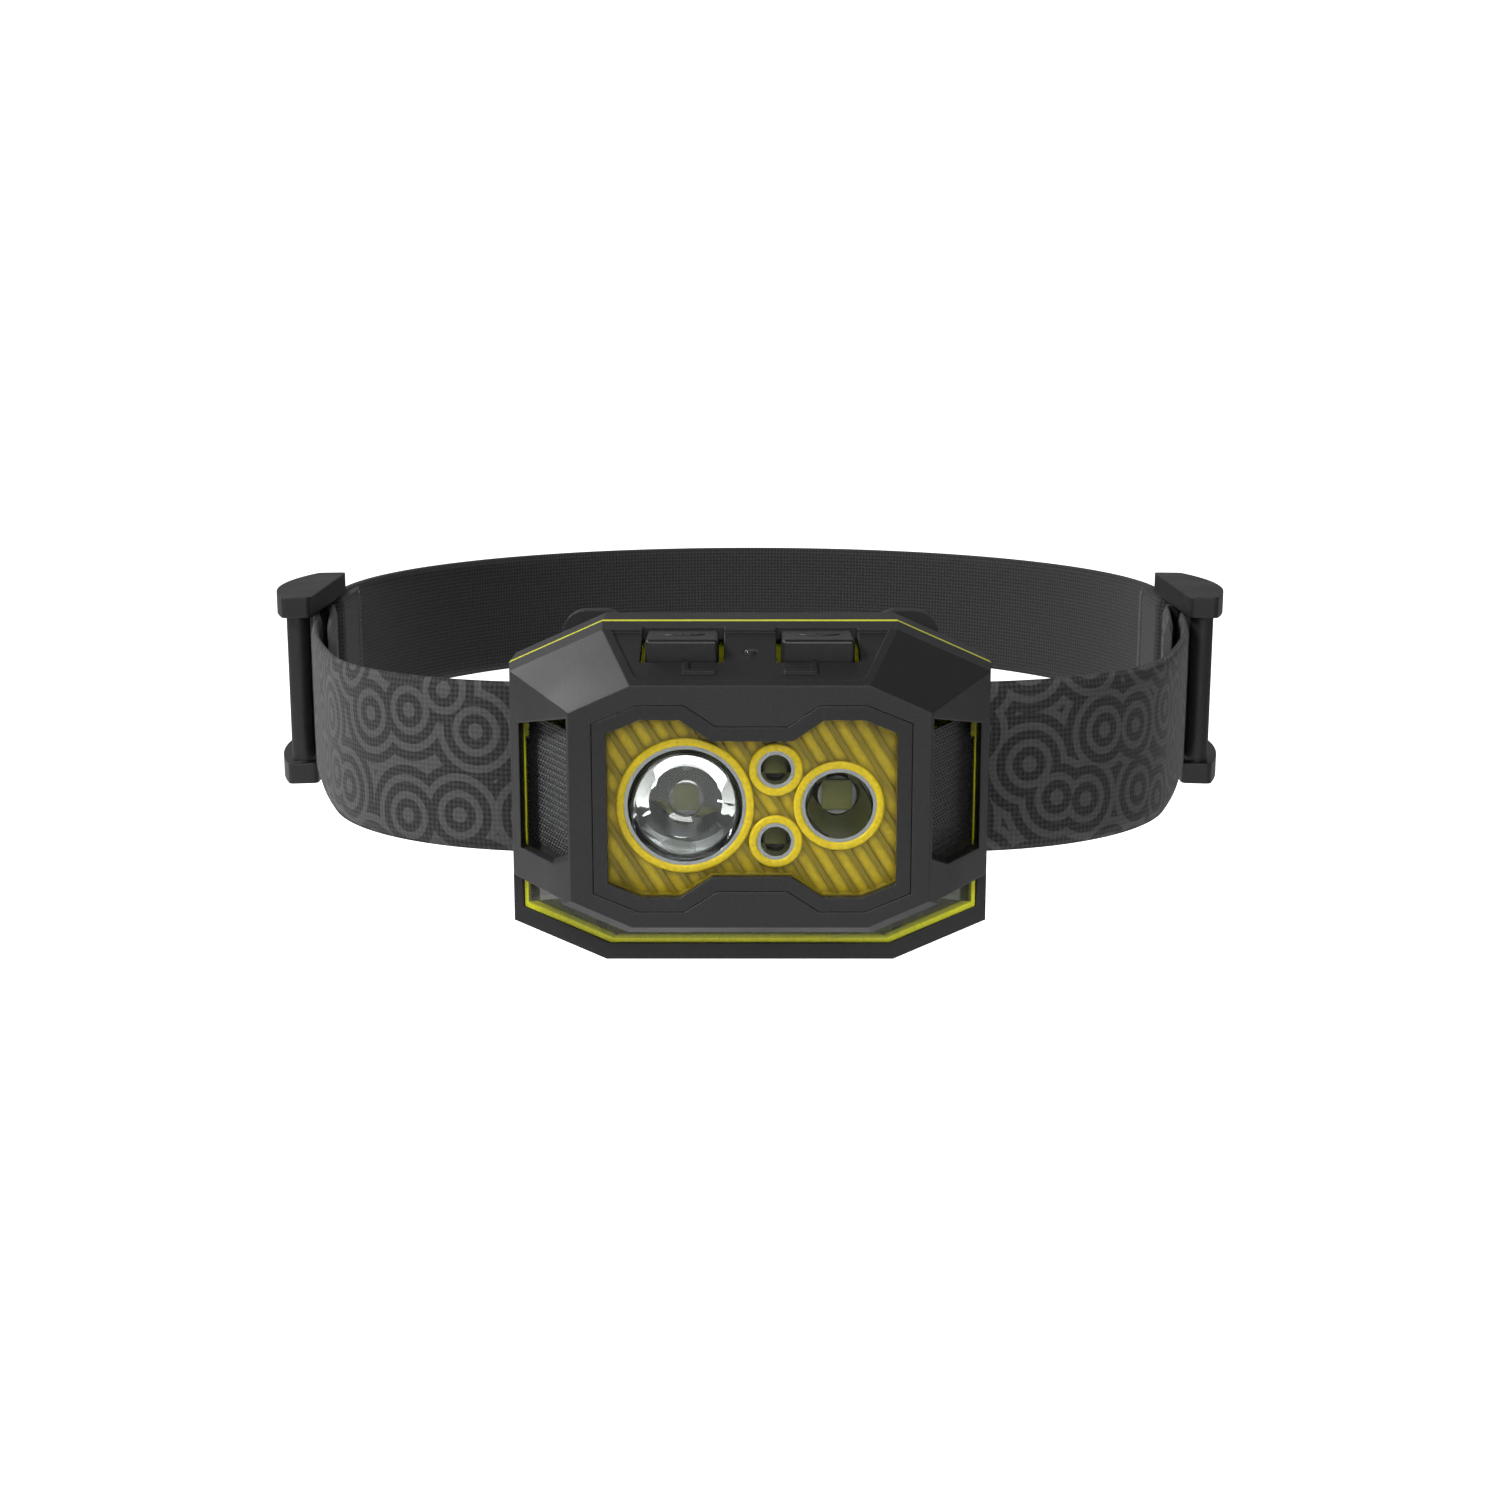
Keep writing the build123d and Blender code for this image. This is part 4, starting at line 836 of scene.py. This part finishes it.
class HEADLAMP_OT_pad(bpy.types.Operator):
    """Foam pad behind the forehead plate"""
    bl_idname = "headlamp.pad"
    bl_label = "Forehead pad"

    def execute(self, context):
        low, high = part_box("forehead_pad")
        centre, half = (low + high) / 2, (high - low) / 2
        thick = high.y - low.y
        # rings that shrink inwards: superellipse outline, crowned face with two channels
        ring = np.linspace(0, 2 * np.pi, 128, endpoint=False)
        # the first ring is the middle of the flat back, the last is the middle of the front
        share = np.concatenate([[0.0, 1.0, 1.0, 1.0], np.linspace(0.985, 0.0, 41)])
        x_unit = np.sign(np.cos(ring)) * np.abs(np.cos(ring)) ** 0.45
        z_unit = np.sign(np.sin(ring)) * np.abs(np.sin(ring)) ** 0.45
        x = np.outer(share, x_unit * half.x)
        z = np.outer(share, z_unit * half.z)
        crown = np.sqrt(np.clip(1 - share ** 6, 0, 1))[:, None]
        channel = 0.45 * np.exp(-((np.abs(z) - 5.2 * MM) / (0.8 * MM)) ** 2)
        channel *= (np.abs(x) < half.x * 0.86)
        y = low.y + thick * (0.45 + 0.55 * crown * (1 - channel))
        y[0], y[1], y[2], y[3] = low.y, low.y, low.y + thick * 0.2, low.y + thick * 0.45
        points = np.stack([x + centre.x, y, z + centre.z], axis=-1)
        mesh = turn_outwards(grid_mesh("forehead_pad_skin", points[:, ::-1], close_v=True))
        made, tree = new_material("brushed_lining_foam")
        # laminated foam lined with brushed knit: matt, fuzzy and slightly mottled
        place = add_node(tree, "ShaderNodeTexCoord").outputs["Object"]
        knit = add_node(tree, "ShaderNodeTexVoronoi", {"Vector": place,
                                                       "Scale": per_metre(0.8)})
        paint = add_node(tree, "ShaderNodeMix",
                         {"Factor": knit.outputs["Distance"], "A": linear("#1c1c1e"),
                          "B": linear("#353538")}, data_type="RGBA")
        bump = add_node(tree, "ShaderNodeBump", {"Height": knit.outputs["Distance"],
                                                 "Distance": 0.15 * MM, "Strength": 0.7})
        shader = add_node(tree, "ShaderNodeBsdfPrincipled",
                          {"Base Color": paint.outputs["Result"], "Roughness": 0.9,
                           "Sheen Weight": 0.25, "Normal": bump.outputs["Normal"]})
        finish_material(made, tree, shader.outputs["BSDF"])
        piece = add_piece("forehead_pad_skin", mesh, "headband", made,
                          ["forehead_pad"])
        return {"FINISHED"}


def ring_mesh(name, centre, inner, outer, back, front):
    """Ring turned about an axis along Y: a section with its two front edges rounded."""
    turn = np.linspace(0, math.pi / 2, 4)
    soft = min((outer - inner) / 3, back - front)
    first = [(inner + soft * (1 - math.cos(t)), front + soft * (1 - math.sin(t)))
             for t in turn]
    second = [(outer - soft * (1 - math.sin(t)), front + soft * (1 - math.cos(t)))
              for t in turn]
    profile = [(inner, back)] + first + second + [(outer, back)]
    points = turned_points(profile, centre)
    return turn_outwards(grid_mesh(name, points, close_u=True, close_v=True))


def lower_outline(half, bottom, run, top):
    """Bottom half of the lamp's eight sided outline, as (x, z) from left to right."""
    side = bottom + run * CORNER_SLOPE
    return np.array([(-half, top), (-half, side), (-half + run, bottom),
                     (half - run, bottom), (half, side), (half, top)]) * MM


class HEADLAMP_OT_trim(bpy.types.Operator):
    """Yellow rings round the light sources, and the black lip under the lamp"""
    bl_idname = "headlamp.trim"
    bl_label = "Trim rings"

    def execute(self, context):
        c = colours()
        yellow = moulded("moulded_ring_yellow", scaled(tuple(c.plate), 1.08), grain=0.45,
                         depth=0.02, rough=0.38, edge=0.08, spread=0.08)
        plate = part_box("reflector_plate")[0].y
        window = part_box("front_window")[1].y
        front = plate + (window - plate) * 0.6
        meshes = []
        for centre_x, centre_z, mouth in SOURCES:
            meshes.append(ring_mesh("ring", (centre_x * MM, centre_z * MM),
                                    (mouth - RING_INSET) * MM, (mouth + RING_OVERLAP) * MM,
                                    plate + SEAT * MM, front))
        add_piece("source_rings", join_meshes("rings", meshes), "lamp", yellow)
        black = moulded("moulded_lip_black", scaled(tuple(c.shell), 0.8), rough=0.5)
        outer = lower_outline(*LIP_OUTER, LIP_TOP)
        inner = lower_outline(*LIP_INNER, LIP_TOP)
        y = RIM_FRONT * MM
        proud = LIP_PROUD * MM
        section = [(inner, y + SEAT * MM), (inner, y - proud), (outer, y - proud),
                   (outer, y + SEAT * MM)]
        points = np.stack([np.stack([edge[:, 0], np.full(6, at), edge[:, 1]], axis=-1)
                           for edge, at in section], axis=1)
        faces = quads_of(6, 4, close_v=True).tolist() + [[0, 1, 2, 3], [23, 22, 21, 20]]
        mesh = solid_mesh("lower_lip", points.reshape(-1, 3), faces)
        add_piece("lower_lip", mesh, "lamp", black)
        return {"FINISHED"}


class HEADLAMP_OT_optics(bpy.types.Operator):
    """Mirror cups and the clear collimator"""
    bl_idname = "headlamp.optics"
    bl_label = "Optics"

    def execute(self, context):
        chrome = metal("vapour_plated_chrome", linear("#9b9da0"), 0.05)
        glass = collimator("acrylic_collimator")
        for node in ("spot_reflector", "flood_reflector", "red_reflectors"):
            give_finish(node, chrome)
        give_finish("spot_lens", glass)
        return {"FINISHED"}


def prism_slab(name, corner, along, up, outward, pitch, inset, proud):
    """Closed slab whose front is a diamond lattice of pyramids: height is proud times
    one less twice the larger distance to the nearest lattice centre, of those along the two
    diagonals. Its back is one flat face, inset behind the front's base."""
    reach, rise = np.linalg.norm(along), np.linalg.norm(up)
    u = np.linspace(0, 1, int(reach / pitch * 5))
    v = np.linspace(0, 1, int(rise / pitch * 5))
    uu, vv = np.meshgrid(u, v, indexing="ij")
    a = (uu * reach + vv * rise) / pitch / math.sqrt(2)
    b = (uu * reach - vv * rise) / pitch / math.sqrt(2)
    peak = np.clip(1 - np.maximum(np.abs(a - np.round(a)), np.abs(b - np.round(b))) * 2, 0, 1)
    border = np.minimum.reduce([uu, 1 - uu, vv, 1 - vv]) > 1e-9
    height = np.where(border, proud * peak, 0)
    base = (np.asarray(corner) + uu[..., None] * along + vv[..., None] * up)
    front = base + height[..., None] * outward
    rows, columns = front.shape[:2]
    ring = np.concatenate([np.arange(columns), np.arange(1, rows) * columns + columns - 1,
                           (rows - 1) * columns + np.arange(columns - 2, -1, -1),
                           np.arange(rows - 2, 0, -1) * columns])
    flat = front.reshape(-1, 3)
    back = base.reshape(-1, 3)[ring] - inset * outward
    start, n = len(flat), len(ring)
    k = np.arange(n)
    sides = np.stack([ring, ring[(k + 1) % n], start + (k + 1) % n, start + k], axis=-1)
    faces = quads_of(rows, columns).tolist() + sides.tolist() + [(start + k).tolist()[::-1]]
    return solid_mesh(name, np.vstack([flat, back]), faces)


class HEADLAMP_OT_prisms(bpy.types.Operator):
    """Prism sheets in the two side windows"""
    bl_idname = "headlamp.prisms"
    bl_label = "Window prisms"

    def execute(self, context):
        material = prism_plastic("moulded_polycarbonate_prisms")
        back = np.array([*WINDOW_BACK, 0.0]) * MM
        run = np.array([*WINDOW_FRONT, 0.0]) * MM - back
        unit = run / np.linalg.norm(run)
        outward = np.array([-unit[1], unit[0], 0.0])
        start = (back + run * WINDOW_START + outward * PRISM_BASE * MM
                 + np.array([0, 0, PRISM_BOTTOM * MM]))
        up = np.array([0, 0, PRISM_RISE * MM])
        for name, side in (("left_window_prisms", 1), ("right_window_prisms", -1)):
            flip = np.array([side, 1, 1])
            mesh = prism_slab(name, start * flip, run * WINDOW_SHARE * flip, up,
                              outward * flip, sizes().prism_pitch, PRISM_INSET * MM,
                              PRISM_PROUD * MM)
            add_piece(name, mesh, "lamp", material)
        return {"FINISHED"}


def zigzag_points(fixed_x, middle_y, height, pitch, reach):
    """Zigzag up a face: y swings by half the reach each way, one full swing a pitch."""
    count = int(height / pitch) * 2
    step = np.arange(count + 1)
    path = np.zeros((count + 1, 3))
    path[:, 0] = fixed_x
    path[:, 1] = middle_y + np.where(step % 2 == 0, 0.5, -0.5) * reach
    path[:, 2] = -height / 2 + step * height / count
    return path


def capped_tube(name, path, radius, sides=5):
    """Round tube along a path, with a flat cap at each end."""
    last = (len(path) - 1) * sides
    faces = quads_of(len(path), sides, close_v=True).tolist()
    faces += [list(range(sides))[::-1], list(range(last, last + sides))]
    return solid_mesh(name, tube_points(path, radius, sides).reshape(-1, 3), faces, True)


class HEADLAMP_OT_stitches(bpy.types.Operator):
    """Zigzag seams across the rear elastic"""
    bl_idname = "headlamp.stitches"
    bl_label = "Seams"

    def execute(self, context):
        s = sizes()
        made, tree = new_material("polyester_thread")
        # twisted filament: fine bright and dark strands
        place = add_node(tree, "ShaderNodeTexCoord").outputs["Object"]
        strands = add_node(tree, "ShaderNodeTexNoise", {"Vector": place,
                                                        "Scale": per_metre(0.25)})
        paint = add_node(tree, "ShaderNodeMix",
                         {"Factor": strands.outputs["Fac"], "A": linear("#2c2c2d"),
                          "B": linear("#6a6a6c")}, data_type="RGBA")
        shader = add_node(tree, "ShaderNodeBsdfPrincipled",
                          {"Base Color": paint.outputs["Result"], "Roughness": 0.6,
                           "Sheen Weight": 0.2})
        finish_material(made, tree, shader.outputs["BSDF"])
        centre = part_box("strap_rear")[1].y - CAD_STRAP_THICK / 2
        stand = s.strap_thick / 2 + s.thread * 0.25
        seam_y = 1.8 * MM
        outer = math.sqrt(centre ** 2 - seam_y ** 2) + stand
        inner = centre + REAR_SHIFT - 2 * WRAP - stand
        for side, name in ((1, "left"), (-1, "right")):
            meshes = [capped_tube("seam", zigzag_points(side * x, seam_y, s.strap_width * 0.94,
                                                        s.stitch_pitch, 1.1 * MM), s.thread / 2)
                      for x in (outer, inner)]
            add_piece(name + "_rear_seam", join_meshes("seams", meshes), "headband", made)
        return {"FINISHED"}


def dome_mesh(name, centre, radius, height, rings=5, segments=24):
    """Low dome standing up along Z: height falls with the cosine of the way out."""
    way = np.linspace(0, 1, rings + 1)[1:]
    angle = np.linspace(0, 2 * np.pi, segments, endpoint=False)
    x = centre[0] + radius * np.outer(way, np.cos(angle))
    y = centre[1] + radius * np.outer(way, np.sin(angle))
    z = centre[2] + height * np.cos(way * np.pi / 2)[:, None] + 0 * x
    points = np.stack([x, y, z], axis=-1).reshape(-1, 3)
    base = points[-segments:] - (0, 0, 0.15 * MM)
    top = np.array([[centre[0], centre[1], centre[2] + height]])
    total = rings * segments
    k = np.arange(segments)
    k2 = (k + 1) % segments
    rim = (rings - 1) * segments
    faces = quads_of(rings, segments, close_v=True).tolist()
    faces += np.stack([rim + k, total + k, total + k2, rim + k2], axis=-1).tolist()
    faces += np.stack([k, k2, np.full(segments, total + segments)], axis=-1).tolist()
    faces.append((total + k).tolist()[::-1])
    return solid_mesh(name, np.vstack([points, base, top]), faces, True)


class HEADLAMP_OT_marks(bpy.types.Operator):
    """Raised feel marks on the two buttons: three dots, and a dot inside an arc"""
    bl_idname = "headlamp.marks"
    bl_label = "Button marks"

    def execute(self, context):
        raised = moulded("moulded_marks_black", scaled(tuple(colours().shell), 1.5),
                         grain=0.5, depth=0.004, rough=0.35, edge=0.1)
        for name, kind in (("left_button", "arc"), ("right_button", "dots")):
            low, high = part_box(name)
            middle = (low + high) / 2
            top = high.z - 0.03 * MM
            y = middle.y + 0.9 * MM
            meshes = []
            if kind == "dots":
                meshes = [dome_mesh("dot", (middle.x + k * 1.2 * MM, y, top), 0.42 * MM,
                                    0.16 * MM) for k in (-1, 0, 1)]
            else:
                meshes = [dome_mesh("dot", (middle.x, y, top), 0.5 * MM, 0.16 * MM)]
            turn = np.linspace(math.radians(200), math.radians(340), 24)
            arc = np.stack([middle.x + 3.0 * MM * np.cos(turn),
                            y + 0.5 * MM + 1.7 * MM * np.sin(turn),
                            np.full(24, top + 0.02 * MM)], axis=-1)
            meshes.append(capped_tube("arc", arc, 0.16 * MM, 6))
            add_piece(name + "_mark", join_meshes("marks", meshes), name, raised)
        return {"FINISHED"}


# ---- panel and registration ------------------------------------------------------------


class HEADLAMP_PT_panel(bpy.types.Panel):
    """Sidebar list of the headlamp's steps"""
    bl_label = "Headlamp"
    bl_space_type = "VIEW_3D"
    bl_region_type = "UI"
    bl_category = "Headlamp"

    def draw(self, context):
        for group in (context.scene.headlamp_sizes, context.scene.headlamp_colours):
            for key in group.__annotations__:
                self.layout.prop(group, key)
        for step in STEPS:
            self.layout.operator(step.bl_idname)


STEPS = (
    HEADLAMP_OT_stage,
    HEADLAMP_OT_finishes,
    HEADLAMP_OT_straps,
    HEADLAMP_OT_pad,
    HEADLAMP_OT_optics,
    HEADLAMP_OT_trim,
    HEADLAMP_OT_prisms,
    HEADLAMP_OT_stitches,
    HEADLAMP_OT_marks,
)
CLASSES = (HeadlampSizes, HeadlampColours) + STEPS + (HEADLAMP_PT_panel,)


def register():
    for item in CLASSES:
        bpy.utils.register_class(item)
    bpy.types.Scene.headlamp_sizes = bpy.props.PointerProperty(type=HeadlampSizes)
    bpy.types.Scene.headlamp_colours = bpy.props.PointerProperty(type=HeadlampColours)


def unregister():
    del bpy.types.Scene.headlamp_colours
    del bpy.types.Scene.headlamp_sizes
    for item in reversed(CLASSES):
        bpy.utils.unregister_class(item)


def main():
    register()
    for step in STEPS:
        prefix, name = step.bl_idname.split(".")
        getattr(getattr(bpy.ops, prefix), name)()


if __name__ == "__main__":
    main()
